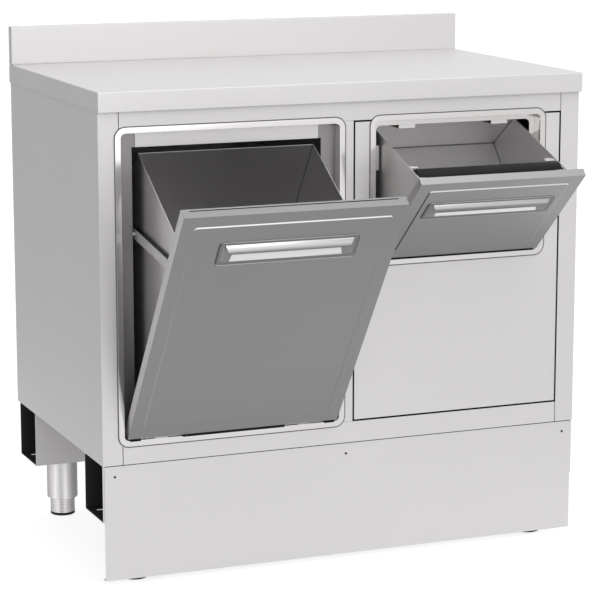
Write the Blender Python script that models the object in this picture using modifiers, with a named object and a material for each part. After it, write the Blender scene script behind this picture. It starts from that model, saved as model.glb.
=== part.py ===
"""Coffee station counter: a stainless base unit with a tilt-out waste bin and a tilt-out knock-out drawer.

Lengths are metres, +Z is up and the front faces -Y. The unit stands on Z = 0, and the origin lies under the
middle of its outer box with the bin and the drawer tilted open, as they rest.
"""
import math

import bmesh
import bpy
from mathutils import Matrix, Vector

# Worktop
COUNTER_WIDTH = 1.000
COUNTER_DEPTH = 0.600
WORKTOP_HEIGHT = 0.9405
APRON_HEIGHT = 0.038
WORKTOP_FOLD_RADIUS = 0.0025
CORE_THICKNESS = 0.018
BACKSPLASH_HEIGHT = 0.0768
BACKSPLASH_THICKNESS = 0.0225
BACKSPLASH_SEAT_FALL = 0.0012

# Sheet and seats
SHEET = 0.0012
HEAVY_SHEET = 0.0020
SEAT = 0.0003

# Carcass
SIDE_OVERHANG = 0.0025
FRONT_OVERHANG = 0.0100
BACK_SETBACK = 0.0020
CARCASS_BOTTOM = 0.2350
STILE_WIDTH = 0.0395
TOP_RAIL_DROP = 0.0370
BOTTOM_RAIL_HEIGHT = 0.0415
MULLION_WIDTH = 0.0250
RAIL_JOINT = 0.0012
FOLD_RETURN = 0.0180
PANEL_GAP = 0.0030

# Bezel rings and the frames behind them
RING_OVERLAP = 0.0070
RING_LIP = 0.0112
RING_RADIUS = 0.0200
RING_SLEEVE = 0.0250
DRAWER_RING_WIDTH = 0.3760
DRAWER_RING_HEIGHT = 0.2910
PANEL_CUT_MARGIN = 0.0060
BIN_FLANGE = 0.0290
DRAWER_FLANGE = 0.0115
DRAWER_FLANGE_RADIUS = 0.0100
TOP_BAR_END_GAP = 0.0060

# Doors
DOOR_THICKNESS = 0.0150
DOOR_SIDE_GAP = 0.0050
DOOR_TOP_GAP = 0.0020
DOOR_CORNER = 0.0015
FIELD_INSET = 0.0250
FIELD_SLOPE = 0.0020
FIELD_RISE = 0.0015
FIELD_CORNER = 0.0060
BACK_PAN_DEPTH = 0.0060
BACK_PAN_SLOT = 0.0022
BACK_PAN_CORNER = 0.0150
BIN_TILT = math.radians(35.0)
DRAWER_TILT = math.radians(49.0)

# Hinges
HINGE_GAP = 0.0060
AXIS_BEHIND_FRONT = 0.0040
HINGE_WIDTH = 0.0800
HINGE_INSET = 0.0280
LEAF_THICKNESS = 0.0010
FIXED_LEAF_DEPTH = 0.0180
DOOR_LEAF_DEPTH = 0.0100
KNUCKLE_RADIUS = 0.0024
KNUCKLE_LENGTH = 0.0260
PIN_RADIUS = 0.0012
PIN_CLEARANCE = 0.0003

# Recessed handle
HANDLE_WIDTH = 0.2650
HANDLE_HEIGHT = 0.0520
HANDLE_DROP = 0.0665
HANDLE_LIP = 0.0040
HANDLE_LOWER_LIP = 0.0065
HANDLE_DEPTH = 0.0120
HANDLE_CORNER = 0.0070
HANDLE_MOUTH_CORNER = 0.0030
HANDLE_BASE_CORNER = 0.0015
HANDLE_END_SLOPE = 0.0235
HANDLE_LOWER_SLOPE = 0.0155
HANDLE_UPPER_SLOPE = 0.0030
HANDLE_SLOPE_DEPTH = 0.0035
HANDLE_WELL_INSET = 0.0020
HANDLE_WALL = 0.0010
GRIP_HEIGHT = 0.0165
GRIP_TOP_LEAN = math.radians(55.0)
GRIP_LOW_LEAN = math.radians(10.0)
GRIP_END_INSET = 0.0062
GRIP_END_SLANT = 0.0078

# Waste bin
HOPPER_SIDE_CLEARANCE = 0.0130
HOPPER_DEPTH = 0.3110
HOPPER_SWING_CLEARANCE = 0.0110
HOPPER_FRONT_RISE = 0.0210
HOPPER_FLOOR_RISE = 0.0040
RAIL_THICKNESS = 0.0080
RAIL_HEIGHT = 0.0200
RAIL_FRONT_HEIGHT = 0.4080
STOP_PIN_RADIUS = 0.0040
STOP_PIN_LENGTH = 0.0180
STOP_PIN_HEIGHT = 0.3860
STOP_PIN_END = 0.0100

# Knock-out drawer
BOX_SIDE_CLEARANCE = 0.0090
BOX_DEPTH = 0.2250
BOX_BACK_HEIGHT = 0.1100
BOX_BACK_LEAN = 0.0110
BOX_SWING_CLEARANCE = 0.0040
BOX_FLOOR_RISE = 0.0040
STOP_TAB_WIDTH = 0.0350
STOP_TAB_SPACING = 0.1990
STOP_TAB_DROP = 0.0070
BAR_SETBACK = 0.0350
BAR_DROP = 0.0130
BAR_RADIUS = 0.0170
BAR_CORE_RADIUS = 0.0080
BAR_CORE_CLEARANCE = 0.0003
BAR_BRACKET_DOOR_GAP = 0.0020
BAR_BRACKET_HEIGHT = 0.0320
BAR_BRACKET_THICKNESS = 0.0025
BAR_BRACKET_RISE = 0.0120

# Base channels, legs, feet and plinth
CHANNEL_HEIGHT = 0.1100
CHANNEL_DEPTH = 0.1130
REAR_CHANNEL_INSET = 0.0180
SLOT_LENGTH = 0.0160
SLOT_WIDTH = 0.0080
SLOT_END_DISTANCE = 0.0230
LEG_RADIUS = 0.0318
LEG_WALL = 0.0020
LEG_CHAMFER = 0.0030
LEG_END_INSET = 0.0750
LEG_OUTSET = 0.0120
LEG_COLLAR = 0.0180
LEG_BOTTOM = 0.0365
FOOT_RADIUS = 0.0255
FOOT_WALL = 0.0040
FOOT_CLEARANCE = 0.0003
PAD_HEIGHT = 0.0050
PAD_ROUNDING = 0.0015
PLINTH_BOTTOM = 0.0105
PLINTH_TOP_GAP = 0.0016
PLINTH_END_INSET = 0.0030
PLINTH_SETBACK = 0.0010
PLINTH_HEM = 0.0150

# Facets on round pieces
ARC_STEPS = 6
TURN_STEPS = 28
KNUCKLE_STEPS = 16

# Planes of the carcass, measured from the middle of the worktop's outline
HALF_WIDTH = COUNTER_WIDTH / 2
BACK = COUNTER_DEPTH / 2
FRONT = -COUNTER_DEPTH / 2 + FRONT_OVERHANG
CARCASS_BACK = BACK - BACK_SETBACK
BACKSPLASH_FRONT = BACK - BACKSPLASH_THICKNESS
SIDE = HALF_WIDTH - SIDE_OVERHANG
CARCASS_TOP = WORKTOP_HEIGHT - SHEET - CORE_THICKNESS - 2 * SEAT
STILE_EDGE = SIDE - STILE_WIDTH
BAY_EDGE = MULLION_WIDTH / 2
BAY_WIDTH = STILE_EDGE - BAY_EDGE
BAY_MIDDLE = (STILE_EDGE + BAY_EDGE) / 2
BAY_BOTTOM = CARCASS_BOTTOM + BOTTOM_RAIL_HEIGHT
BAY_TOP = WORKTOP_HEIGHT - APRON_HEIGHT - TOP_RAIL_DROP
RING_FRONT = FRONT - SEAT - SHEET
SLEEVE_BACK = RING_FRONT + RING_SLEEVE
FRAME_FRONT = SLEEVE_BACK + SEAT
FRAME_BACK = FRAME_FRONT + SHEET
AXIS_Y = RING_FRONT + AXIS_BEHIND_FRONT
AXIS_DROP = HINGE_GAP / 2
DOOR_FRONT = -AXIS_BEHIND_FRONT
DOOR_BACK = DOOR_FRONT + DOOR_THICKNESS
FIELD_FRONT = DOOR_FRONT - FIELD_RISE
CHANNEL_BOTTOM = CARCASS_BOTTOM - SEAT - CHANNEL_HEIGHT
PLINTH_FRONT = FRONT + PLINTH_SETBACK
FRONT_CHANNEL_FRONT = PLINTH_FRONT + SHEET + SEAT
REAR_CHANNEL_FRONT = CARCASS_BACK - REAR_CHANNEL_INSET - CHANNEL_DEPTH
LEG_X = SIDE - LEG_END_INSET


class Opening:
    """One bezelled opening with its tilting door: sizes of the ring, the frame behind it and the door."""

    def __init__(self, middle, low, width, height, flange, tilt, back):
        self.middle = middle
        self.low = low
        self.width = width
        self.height = height
        self.flange = flange
        self.tilt = tilt
        self.back = back
        self.tub_front = back + SEAT
        self.inner_width = width - 2 * RING_LIP
        self.inner_low = low + RING_LIP
        self.inner_high = low + height - RING_LIP
        self.axis_z = self.inner_low + AXIS_DROP
        self.door_width = self.inner_width - 2 * DOOR_SIDE_GAP
        self.door_height = self.inner_high - self.inner_low - HINGE_GAP - DOOR_TOP_GAP
        self.door_top = AXIS_DROP + self.door_height
        self.clear_width = self.inner_width - 2 * flange
        self.clear_top = self.inner_high - flange - self.axis_z

    def opened(self, y, z):
        """Where a point of the shut door's upright plane lies when the door rests open."""
        turned_y = y * math.cos(self.tilt) - z * math.sin(self.tilt)
        turned_z = y * math.sin(self.tilt) + z * math.cos(self.tilt)
        return turned_y, turned_z

    def shut(self, y, z):
        """Where a point of the open door lies once the door stands upright."""
        turned_y = y * math.cos(self.tilt) + z * math.sin(self.tilt)
        turned_z = z * math.cos(self.tilt) - y * math.sin(self.tilt)
        return turned_y, turned_z


BIN = Opening(
    middle=-BAY_MIDDLE,
    low=BAY_BOTTOM - RING_OVERLAP,
    width=BAY_WIDTH + 2 * RING_OVERLAP,
    height=BAY_TOP - BAY_BOTTOM + 2 * RING_OVERLAP,
    flange=BIN_FLANGE,
    tilt=BIN_TILT,
    back=DOOR_BACK + SEAT + BACK_PAN_DEPTH,
)
DRAWER = Opening(
    middle=BAY_MIDDLE,
    low=BAY_TOP + RING_OVERLAP - DRAWER_RING_HEIGHT,
    width=DRAWER_RING_WIDTH,
    height=DRAWER_RING_HEIGHT,
    flange=DRAWER_FLANGE,
    tilt=DRAWER_TILT,
    back=DOOR_BACK,
)


def front_reach():
    """Foremost Y of the whole unit, with both doors open."""
    reaches = [-COUNTER_DEPTH / 2]
    for opening in (BIN, DRAWER):
        corner_y, _ = opening.opened(DOOR_FRONT, opening.door_top)
        reaches.append(AXIS_Y + corner_y)
    return min(reaches)


# Scene, collections and materials
def clear_objects():
    for obj in list(bpy.data.objects):
        bpy.data.objects.remove(obj, do_unlink=True)


def new_collection(name):
    collection = bpy.data.collections.new(name)
    bpy.context.scene.collection.children.link(collection)
    return collection


def steel(name, colour, roughness, metallic=1.0):
    material = bpy.data.materials.new(name)
    material.use_nodes = True
    shader = material.node_tree.nodes["Principled BSDF"]
    shader.inputs["Base Color"].default_value = (*colour, 1.0)
    shader.inputs["Roughness"].default_value = roughness
    shader.inputs["Metallic"].default_value = metallic
    return material


clear_objects()
PARTS = new_collection("coffee_station_counter")
CUTTERS = new_collection("cutters")
SATIN = steel("satin_steel", (0.68, 0.67, 0.67), 0.32)
BRIGHT = steel("bright_trim_steel", (0.84, 0.82, 0.82), 0.20)
DOOR_STEEL = steel("door_steel", (0.36, 0.36, 0.36), 0.35)
DARK_STEEL = steel("inner_steel", (0.22, 0.22, 0.22), 0.40)
RUBBER = steel("black_rubber", (0.02, 0.02, 0.02), 0.70, 0.0)
BOARD = steel("stiffening_board", (0.45, 0.33, 0.22), 0.80, 0.0)


def empty(name, parent=None, location=(0, 0, 0), tilt=0.0):
    """Empty that carries pieces; a tilt leans what it carries towards the front."""
    obj = bpy.data.objects.new(name, None)
    PARTS.objects.link(obj)
    obj.parent = parent
    obj.location = location
    obj.rotation_euler.x = tilt
    return obj


def place(name, bm, material, parent, location=(0, 0, 0), collection=None):
    """Turn a bmesh into a named object under its parent."""
    mesh = bpy.data.meshes.new(name)
    bm.to_mesh(mesh)
    bm.free()
    obj = bpy.data.objects.new(name, mesh)
    (collection or PARTS).objects.link(obj)
    obj.parent = parent
    obj.location = location
    if material:
        mesh.materials.append(material)
    return obj


# Modelling helpers
def box(name, low, high, material, parent, collection=None):
    """Block between two corners of the parent's frame."""
    low = Vector(low)
    high = Vector(high)
    bm = bmesh.new()
    bmesh.ops.create_cube(bm, size=1.0, matrix=Matrix.Diagonal((*(high - low), 1.0)))
    return place(name, bm, material, parent, (low + high) / 2, collection)


def rod(name, radius, low_x, high_x, y, z, material, parent, collection=None, steps=KNUCKLE_STEPS):
    """Round rod along X."""
    bm = bmesh.new()
    upright = Matrix.Rotation(math.pi / 2, 4, "Y")
    length = high_x - low_x
    bmesh.ops.create_cone(bm, cap_ends=True, segments=steps, radius1=radius, radius2=radius,
                          depth=length, matrix=upright)
    return place(name, bm, material, parent, ((low_x + high_x) / 2, y, z), collection)


def solidify(obj, thickness):
    """Thicken an open sheet away from the side that its faces look to."""
    modifier = obj.modifiers.new("sheet", "SOLIDIFY")
    modifier.solidify_mode = "NON_MANIFOLD"
    modifier.nonmanifold_thickness_mode = "CONSTRAINTS"
    modifier.thickness = thickness
    modifier.offset = -1.0


def combine(obj, other, operation):
    """Cut another solid out of an object, or weld it on, and keep the tool out of sight."""
    other.hide_render = True
    other.display_type = "WIRE"
    modifier = obj.modifiers.new(other.name, "BOOLEAN")
    modifier.operation = operation
    modifier.object = other
    modifier.solver = "EXACT"


def face_away_from(bm, face, inward):
    """Make a sheet's faces agree, with the given face looking away from the inward direction."""
    bmesh.ops.recalc_face_normals(bm, faces=bm.faces)
    bm.normal_update()
    if face.normal.dot(Vector(inward)) > 0:
        bmesh.ops.reverse_faces(bm, faces=bm.faces)


def new_verts(result):
    return [item for item in result["geom"] if isinstance(item, bmesh.types.BMVert)]


def folded_sheet(name, path, axis, start, stop, inward, material, parent, thickness=SHEET):
    """Sheet folded along a path of points across an axis; its first leg thickens towards inward."""
    bm = bmesh.new()
    if axis == "X":
        verts = [bm.verts.new((start, a, b)) for a, b in path]
        run = Vector((stop - start, 0, 0))
    else:
        verts = [bm.verts.new((a, b, start)) for a, b in path]
        run = Vector((0, 0, stop - start))
    edges = [bm.edges.new(pair) for pair in zip(verts, verts[1:])]
    result = bmesh.ops.extrude_edge_only(bm, edges=edges)
    bmesh.ops.translate(bm, verts=new_verts(result), vec=run)
    face_away_from(bm, edges[0].link_faces[0], inward)
    obj = place(name, bm, material, parent)
    solidify(obj, thickness)
    return obj


def front_face(bm, outline, y):
    """Flat face through a list of (x, z) points, looking to the front."""
    face = bm.faces.new([bm.verts.new((x, y, z)) for x, z in outline])
    face.normal_update()
    if face.normal.y > 0:
        face.normal_flip()
    return face


def rounded_rectangle(low_x, high_x, low_z, high_z, radius):
    """Outline of a rectangle with round corners, as (x, z) points."""
    corners = [
        (high_x - radius, low_z + radius, -90),
        (high_x - radius, high_z - radius, 0),
        (low_x + radius, high_z - radius, 90),
        (low_x + radius, low_z + radius, 180),
    ]
    points = []
    for centre_x, centre_z, first in corners:
        for step in range(ARC_STEPS + 1):
            angle = math.radians(first + 90 * step / ARC_STEPS)
            points.append((centre_x + radius * math.cos(angle), centre_z + radius * math.sin(angle)))
    return points


def plate(name, outline, y, thickness, material, parent, collection=None):
    """Flat plate from an outline of (x, z) points; its front lies at y."""
    bm = bmesh.new()
    front_face(bm, outline, y)
    obj = place(name, bm, material, parent, collection=collection)
    solidify(obj, thickness)
    return obj


def pressed_face(bm, steps):
    """Sheet pressed in steps from its outside inwards; each step is an outline of (x, z) points and its y."""
    loops = []
    for outline, y in steps:
        verts = [bm.verts.new((x, y, z)) for x, z in outline]
        loops.append([bm.edges.new(pair) for pair in zip(verts, verts[1:] + verts[:1])])
    for outer, inner in zip(loops, loops[1:]):
        bmesh.ops.bridge_loops(bm, edges=outer + inner)
    middle = bmesh.ops.edgeloop_fill(bm, edges=loops[-1])["faces"][0]
    face_away_from(bm, middle, (0, 1, 0))
    return loops[0]


def turned(name, profile, material, parent, location):
    """Solid turned about Z from a closed profile of (radius, z) points, running down its outer side."""
    bm = bmesh.new()
    verts = [bm.verts.new((radius, 0, z)) for radius, z in profile]
    for pair in zip(verts, verts[1:]):
        bm.edges.new(pair)
    if profile[0][0] > 0 or profile[-1][0] > 0:
        bm.edges.new((verts[-1], verts[0]))
    obj = place(name, bm, material, parent, location)
    screw = obj.modifiers.new("turn", "SCREW")
    screw.steps = TURN_STEPS
    screw.render_steps = TURN_STEPS
    screw.use_merge_vertices = True
    screw.merge_threshold = 0.00001
    screw.use_smooth_shade = True
    return obj


# Worktop
def build_worktop(root):
    """Folded worktop sheet and its board; the flat top ends where the sheet falls away under the upstand."""
    bm = bmesh.new()
    size = Matrix.Diagonal((COUNTER_WIDTH, COUNTER_DEPTH, APRON_HEIGHT, 1.0))
    bmesh.ops.create_cube(bm, size=1.0, matrix=size)
    bottom = [face for face in bm.faces if face.normal.z < -0.5]
    bmesh.ops.delete(bm, geom=bottom, context="FACES")
    bmesh.ops.bisect_plane(bm, geom=bm.verts[:] + bm.edges[:] + bm.faces[:],
                           plane_co=(0, BACKSPLASH_FRONT - SEAT, 0), plane_no=(0, 1, 0))
    back_edge = [vert for vert in bm.verts if vert.co.y > BACKSPLASH_FRONT and vert.co.z > 0]
    bmesh.ops.translate(bm, verts=back_edge, vec=(0, 0, -BACKSPLASH_SEAT_FALL))
    skin = place("worktop_skin", bm, SATIN, root, (0, 0, WORKTOP_HEIGHT - APRON_HEIGHT / 2))
    fold = skin.modifiers.new("fold", "BEVEL")
    fold.width = WORKTOP_FOLD_RADIUS
    fold.segments = 2
    fold.limit_method = "ANGLE"
    solidify(skin, SHEET)

    inset = SHEET + SEAT + WORKTOP_FOLD_RADIUS
    core_top = WORKTOP_HEIGHT - SHEET - SEAT
    box("worktop_core",
        (-HALF_WIDTH + inset, -BACK + inset, core_top - CORE_THICKNESS),
        (HALF_WIDTH - inset, BACKSPLASH_FRONT - 2 * SEAT, core_top), BOARD, root)


def build_backsplash(root):
    """Upstand with its edges folded over, seated on the back of the worktop; its foot follows the fall."""
    foot = WORKTOP_HEIGHT + SEAT
    body = box("backsplash", (-HALF_WIDTH, BACKSPLASH_FRONT, foot),
               (HALF_WIDTH, BACK - WORKTOP_FOLD_RADIUS, WORKTOP_HEIGHT + BACKSPLASH_HEIGHT), SATIN, root)
    depth = BACKSPLASH_THICKNESS - WORKTOP_FOLD_RADIUS
    for vert in body.data.vertices:
        if vert.co.y > 0 and vert.co.z < 0:
            vert.co.z -= BACKSPLASH_SEAT_FALL * depth / (BACKSPLASH_THICKNESS + SEAT)
    fold = body.modifiers.new("fold", "BEVEL")
    fold.width = SHEET
    fold.segments = 2
    fold.limit_method = "ANGLE"


# Carcass
def build_side_panel(name, hand, root):
    """Side sheet folded round into the front stile, with a return at the back."""
    path = [
        (hand * (SIDE - FOLD_RETURN), CARCASS_BACK),
        (hand * SIDE, CARCASS_BACK),
        (hand * SIDE, FRONT),
        (hand * STILE_EDGE, FRONT),
        (hand * STILE_EDGE, FRONT + FOLD_RETURN),
    ]
    folded_sheet(name, path, "Z", CARCASS_BOTTOM, CARCASS_TOP, (0, -1, 0), SATIN, root)


def build_rails(root):
    reach = STILE_EDGE - RAIL_JOINT
    top_path = [(FRONT, CARCASS_TOP), (FRONT, BAY_TOP), (FRONT + FOLD_RETURN, BAY_TOP)]
    folded_sheet("top_front_rail", top_path, "X", -reach, reach, (0, 1, 0), SATIN, root)
    low_path = [(FRONT, CARCASS_BOTTOM), (FRONT, BAY_BOTTOM), (FRONT + FOLD_RETURN, BAY_BOTTOM)]
    folded_sheet("bottom_front_rail", low_path, "X", -reach, reach, (0, 1, 0), SATIN, root)
    path = [
        (-BAY_EDGE, FRONT + FOLD_RETURN),
        (-BAY_EDGE, FRONT),
        (BAY_EDGE, FRONT),
        (BAY_EDGE, FRONT + FOLD_RETURN),
    ]
    folded_sheet("centre_mullion", path, "Z", BAY_BOTTOM + SEAT, BAY_TOP - SEAT, (1, 0, 0), SATIN, root)


def build_inner_walls(root):
    inner_side = SIDE - SHEET - SEAT
    back_front = CARCASS_BACK - 2 * SHEET - SEAT
    box("back_panel", (-inner_side, back_front, CARCASS_BOTTOM), (inner_side, back_front + SHEET, CARCASS_TOP),
        SATIN, root)
    floor_front = FRONT + FOLD_RETURN + SEAT
    floor_back = back_front - SEAT
    floor_top = CARCASS_BOTTOM + SHEET
    box("cabinet_floor", (-inner_side, floor_front, CARCASS_BOTTOM), (inner_side, floor_back, floor_top),
        SATIN, root)
    box("centre_partition", (-SHEET / 2, floor_front, floor_top + SEAT),
        (SHEET / 2, floor_back, CARCASS_TOP), SATIN, root)


def build_right_panel(root):
    """Blank front panel with folded edges and a notch for the drawer's bezel."""
    left = BAY_EDGE + PANEL_GAP
    right = STILE_EDGE - PANEL_GAP
    low = BAY_BOTTOM + PANEL_GAP
    high = BAY_TOP - PANEL_GAP
    cut_half = DRAWER.width / 2 - PANEL_CUT_MARGIN
    cut_low = DRAWER.low + PANEL_CUT_MARGIN
    outline = [
        (left, low), (right, low), (right, high), (DRAWER.middle + cut_half, high),
        (DRAWER.middle + cut_half, cut_low), (DRAWER.middle - cut_half, cut_low),
        (DRAWER.middle - cut_half, high), (left, high),
    ]
    bm = bmesh.new()
    face = front_face(bm, outline, FRONT)
    outer = []
    for edge in face.edges:
        a, b = (vert.co for vert in edge.verts)
        upright = abs(a.x - b.x) < SEAT and min(abs(a.x - left), abs(a.x - right)) < SEAT
        lowest = abs(a.z - low) < SEAT and abs(b.z - low) < SEAT
        if upright or lowest:
            outer.append(edge)
    result = bmesh.ops.extrude_edge_only(bm, edges=outer)
    bmesh.ops.translate(bm, verts=new_verts(result), vec=(0, FOLD_RETURN, 0))
    face_away_from(bm, face, (0, 1, 0))
    solidify(place("right_front_panel", bm, SATIN, root), SHEET)


# Bezels and the frames behind them
def build_ring(name, opening, root):
    """Bezel with a flat lip over the front and a sleeve that lines the opening."""
    half = opening.width / 2
    outline = rounded_rectangle(opening.middle - half, opening.middle + half,
                                opening.low, opening.low + opening.height, RING_RADIUS)
    bm = bmesh.new()
    face = front_face(bm, outline, RING_FRONT)
    bmesh.ops.inset_region(bm, faces=[face], thickness=RING_LIP, use_even_offset=True, use_boundary=True)
    mouth = list(face.edges)
    bmesh.ops.delete(bm, geom=[face], context="FACES_ONLY")
    lip = mouth[0].link_faces[0]
    result = bmesh.ops.extrude_edge_only(bm, edges=mouth)
    bmesh.ops.translate(bm, verts=new_verts(result), vec=(0, RING_SLEEVE, 0))
    face_away_from(bm, lip, (0, 1, 0))
    solidify(place(name, bm, BRIGHT, root), SHEET)


def build_inner_frame(name, opening, radius, material, root):
    """Plate on the sleeve's back edge, open below, that narrows the opening at the sides and the top."""
    outer = opening.inner_width / 2 + SHEET
    top = opening.inner_high + SHEET
    low = opening.axis_z
    clear = opening.clear_width / 2
    clear_top = opening.axis_z + opening.clear_top
    arch = rounded_rectangle(-clear, clear, low, clear_top, radius)
    upper = arch[ARC_STEPS + 1:3 * (ARC_STEPS + 1)]
    outline = [(-outer, low), (-outer, top), (outer, top), (outer, low), (clear, low), *upper, (-clear, low)]
    shifted = [(opening.middle + x, z) for x, z in outline]
    plate(name, shifted, FRAME_FRONT, SHEET, material, root)


def build_bin_top_bar(root):
    """Light bar across the top of the bin's frame."""
    half = BIN.clear_width / 2 - TOP_BAR_END_GAP
    low = BIN.axis_z + BIN.clear_top
    high = BIN.inner_high - SEAT
    box("bin_top_bar", (BIN.middle - half, FRAME_FRONT - SEAT - SHEET, low),
        (BIN.middle + half, FRAME_FRONT - SEAT, high), BRIGHT, root)


def build_stop_tabs(root):
    """Angle brackets behind the drawer's frame whose ends meet the box's back wall when it is open."""
    back_y = DRAWER.tub_front + BOX_DEPTH - SHEET
    top_y, top_z = DRAWER.opened(back_y, BOX_BACK_HEIGHT + AXIS_DROP)
    leg_low = DRAWER.clear_top - STOP_TAB_DROP
    lean = math.atan(BOX_BACK_LEAN / (BOX_BACK_HEIGHT - BOX_FLOOR_RISE))
    slope = math.tan(DRAWER.tilt + lean)
    leg_end = top_y + (top_z - leg_low - SHEET) * slope - SEAT
    foot_y = FRAME_BACK + SEAT
    path = [
        (foot_y, DRAWER.axis_z + DRAWER.clear_top + DRAWER.flange / 2),
        (foot_y, DRAWER.axis_z + leg_low),
        (AXIS_Y + leg_end, DRAWER.axis_z + leg_low),
    ]
    for name, hand in (("drawer_stop_tab_left", -1), ("drawer_stop_tab_right", 1)):
        middle = DRAWER.middle + hand * STOP_TAB_SPACING / 2
        folded_sheet(name, path, "X", middle - STOP_TAB_WIDTH / 2, middle + STOP_TAB_WIDTH / 2,
                     (0, 1, 0), BRIGHT, root)


# Doors
def build_door(prefix, opening, pivot):
    """Door pan with a raised field and a handle hole."""
    half = opening.door_width / 2

    def outline(margin, radius):
        return rounded_rectangle(-half + margin, half - margin, AXIS_DROP + margin,
                                 opening.door_top - margin, radius)

    bm = bmesh.new()
    rim = pressed_face(bm, [
        (outline(0, DOOR_CORNER), DOOR_FRONT),
        (outline(FIELD_INSET, FIELD_CORNER), DOOR_FRONT),
        (outline(FIELD_INSET + FIELD_SLOPE, FIELD_CORNER - FIELD_SLOPE), FIELD_FRONT),
    ])
    result = bmesh.ops.extrude_edge_only(bm, edges=rim)
    bmesh.ops.translate(bm, verts=new_verts(result), vec=(0, DOOR_THICKNESS, 0))
    skin = place(prefix + "_skin", bm, DOOR_STEEL, pivot)
    solidify(skin, SHEET)

    margin = HANDLE_LIP / 2
    hole_half = HANDLE_WIDTH / 2 - margin
    handle_top = opening.door_top - HANDLE_DROP
    mouth = rounded_rectangle(-hole_half, hole_half, handle_top - HANDLE_HEIGHT + margin, handle_top - margin,
                              HANDLE_CORNER - margin)
    hole = plate(prefix + "_handle_hole", mouth, FIELD_FRONT - DOOR_THICKNESS, 2 * DOOR_THICKNESS - SHEET,
                 None, pivot, CUTTERS)
    combine(skin, hole, "DIFFERENCE")


def build_drawer_back(pivot):
    """Flat sheet let into the back of the drawer's front."""
    inset = SHEET + SEAT
    half = DRAWER.door_width / 2 - inset
    box("drawer_front_back", (-half, DRAWER.back - SHEET, AXIS_DROP + inset),
        (half, DRAWER.back, DRAWER.door_top - inset), DARK_STEEL, pivot)


def build_bin_back(pivot):
    """Shallow pan behind the bin's door, with a slot between its corners along the top joint."""
    half = BIN.door_width / 2
    outline = [(-half, AXIS_DROP), (half, AXIS_DROP), (half, BIN.door_top), (-half, BIN.door_top)]
    bm = bmesh.new()
    face = front_face(bm, outline, BIN.back)
    rim = list(face.edges)
    result = bmesh.ops.extrude_edge_only(bm, edges=rim)
    bmesh.ops.translate(bm, verts=new_verts(result), vec=(0, -BACK_PAN_DEPTH, 0))
    face_away_from(bm, face, (0, -1, 0))
    pan = place("bin_door_back", bm, DARK_STEEL, pivot)
    solidify(pan, SHEET)
    slot_half = half - BACK_PAN_CORNER
    slot = box("bin_door_back_slot", (-slot_half, DOOR_BACK - SHEET, BIN.door_top - 2 * SHEET),
               (slot_half, DOOR_BACK + SEAT + BACK_PAN_SLOT, BIN.door_top + SHEET), None, pivot, CUTTERS)
    combine(pan, slot, "DIFFERENCE")


def build_handle(prefix, opening, pivot):
    """Cup with sloping ends and a deeper well, set in the door's field, under a rolled grip."""
    lip_front = FIELD_FRONT - SEAT - HANDLE_WALL
    high = opening.door_top - HANDLE_DROP
    low = high - HANDLE_HEIGHT
    half = HANDLE_WIDTH / 2
    mouth_half = half - HANDLE_LIP
    mouth_low = low + HANDLE_LOWER_LIP
    mouth_high = high - HANDLE_LIP
    rim_half = mouth_half - HANDLE_END_SLOPE
    rim_low = mouth_low + HANDLE_LOWER_SLOPE
    rim_high = mouth_high - HANDLE_UPPER_SLOPE
    well_half = rim_half - HANDLE_WELL_INSET
    bm = bmesh.new()
    pressed_face(bm, [
        (rounded_rectangle(-half, half, low, high, HANDLE_CORNER), lip_front),
        (rounded_rectangle(-mouth_half, mouth_half, mouth_low, mouth_high, HANDLE_MOUTH_CORNER), lip_front),
        (rounded_rectangle(-rim_half, rim_half, rim_low, rim_high, HANDLE_BASE_CORNER),
         lip_front + HANDLE_SLOPE_DEPTH),
        (rounded_rectangle(-well_half, well_half, rim_low + HANDLE_WELL_INSET, rim_high - HANDLE_WELL_INSET,
                           HANDLE_BASE_CORNER), lip_front + HANDLE_DEPTH),
    ])
    solidify(place(prefix + "_handle_cup", bm, DOOR_STEEL, pivot), HANDLE_WALL)

    radius = GRIP_HEIGHT / (math.sin(GRIP_TOP_LEAN) + math.sin(GRIP_LOW_LEAN))
    grip_top = mouth_high - SEAT
    path = []
    for step in range(ARC_STEPS + 1):
        lean = GRIP_TOP_LEAN - (GRIP_TOP_LEAN + GRIP_LOW_LEAN) * step / ARC_STEPS
        path.append((lip_front + radius * (math.cos(GRIP_TOP_LEAN) - math.cos(lean)),
                     grip_top - radius * (math.sin(GRIP_TOP_LEAN) - math.sin(lean))))
    grip_half = mouth_half - GRIP_END_INSET
    grip = folded_sheet(prefix + "_handle_grip", path, "X", -grip_half, grip_half, (0, 1, 0), BRIGHT, pivot,
                        HANDLE_WALL)
    for vert in grip.data.vertices:
        slant = GRIP_END_SLANT * (grip_top - vert.co.z) / GRIP_HEIGHT
        vert.co.x -= math.copysign(slant, vert.co.x)


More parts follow.
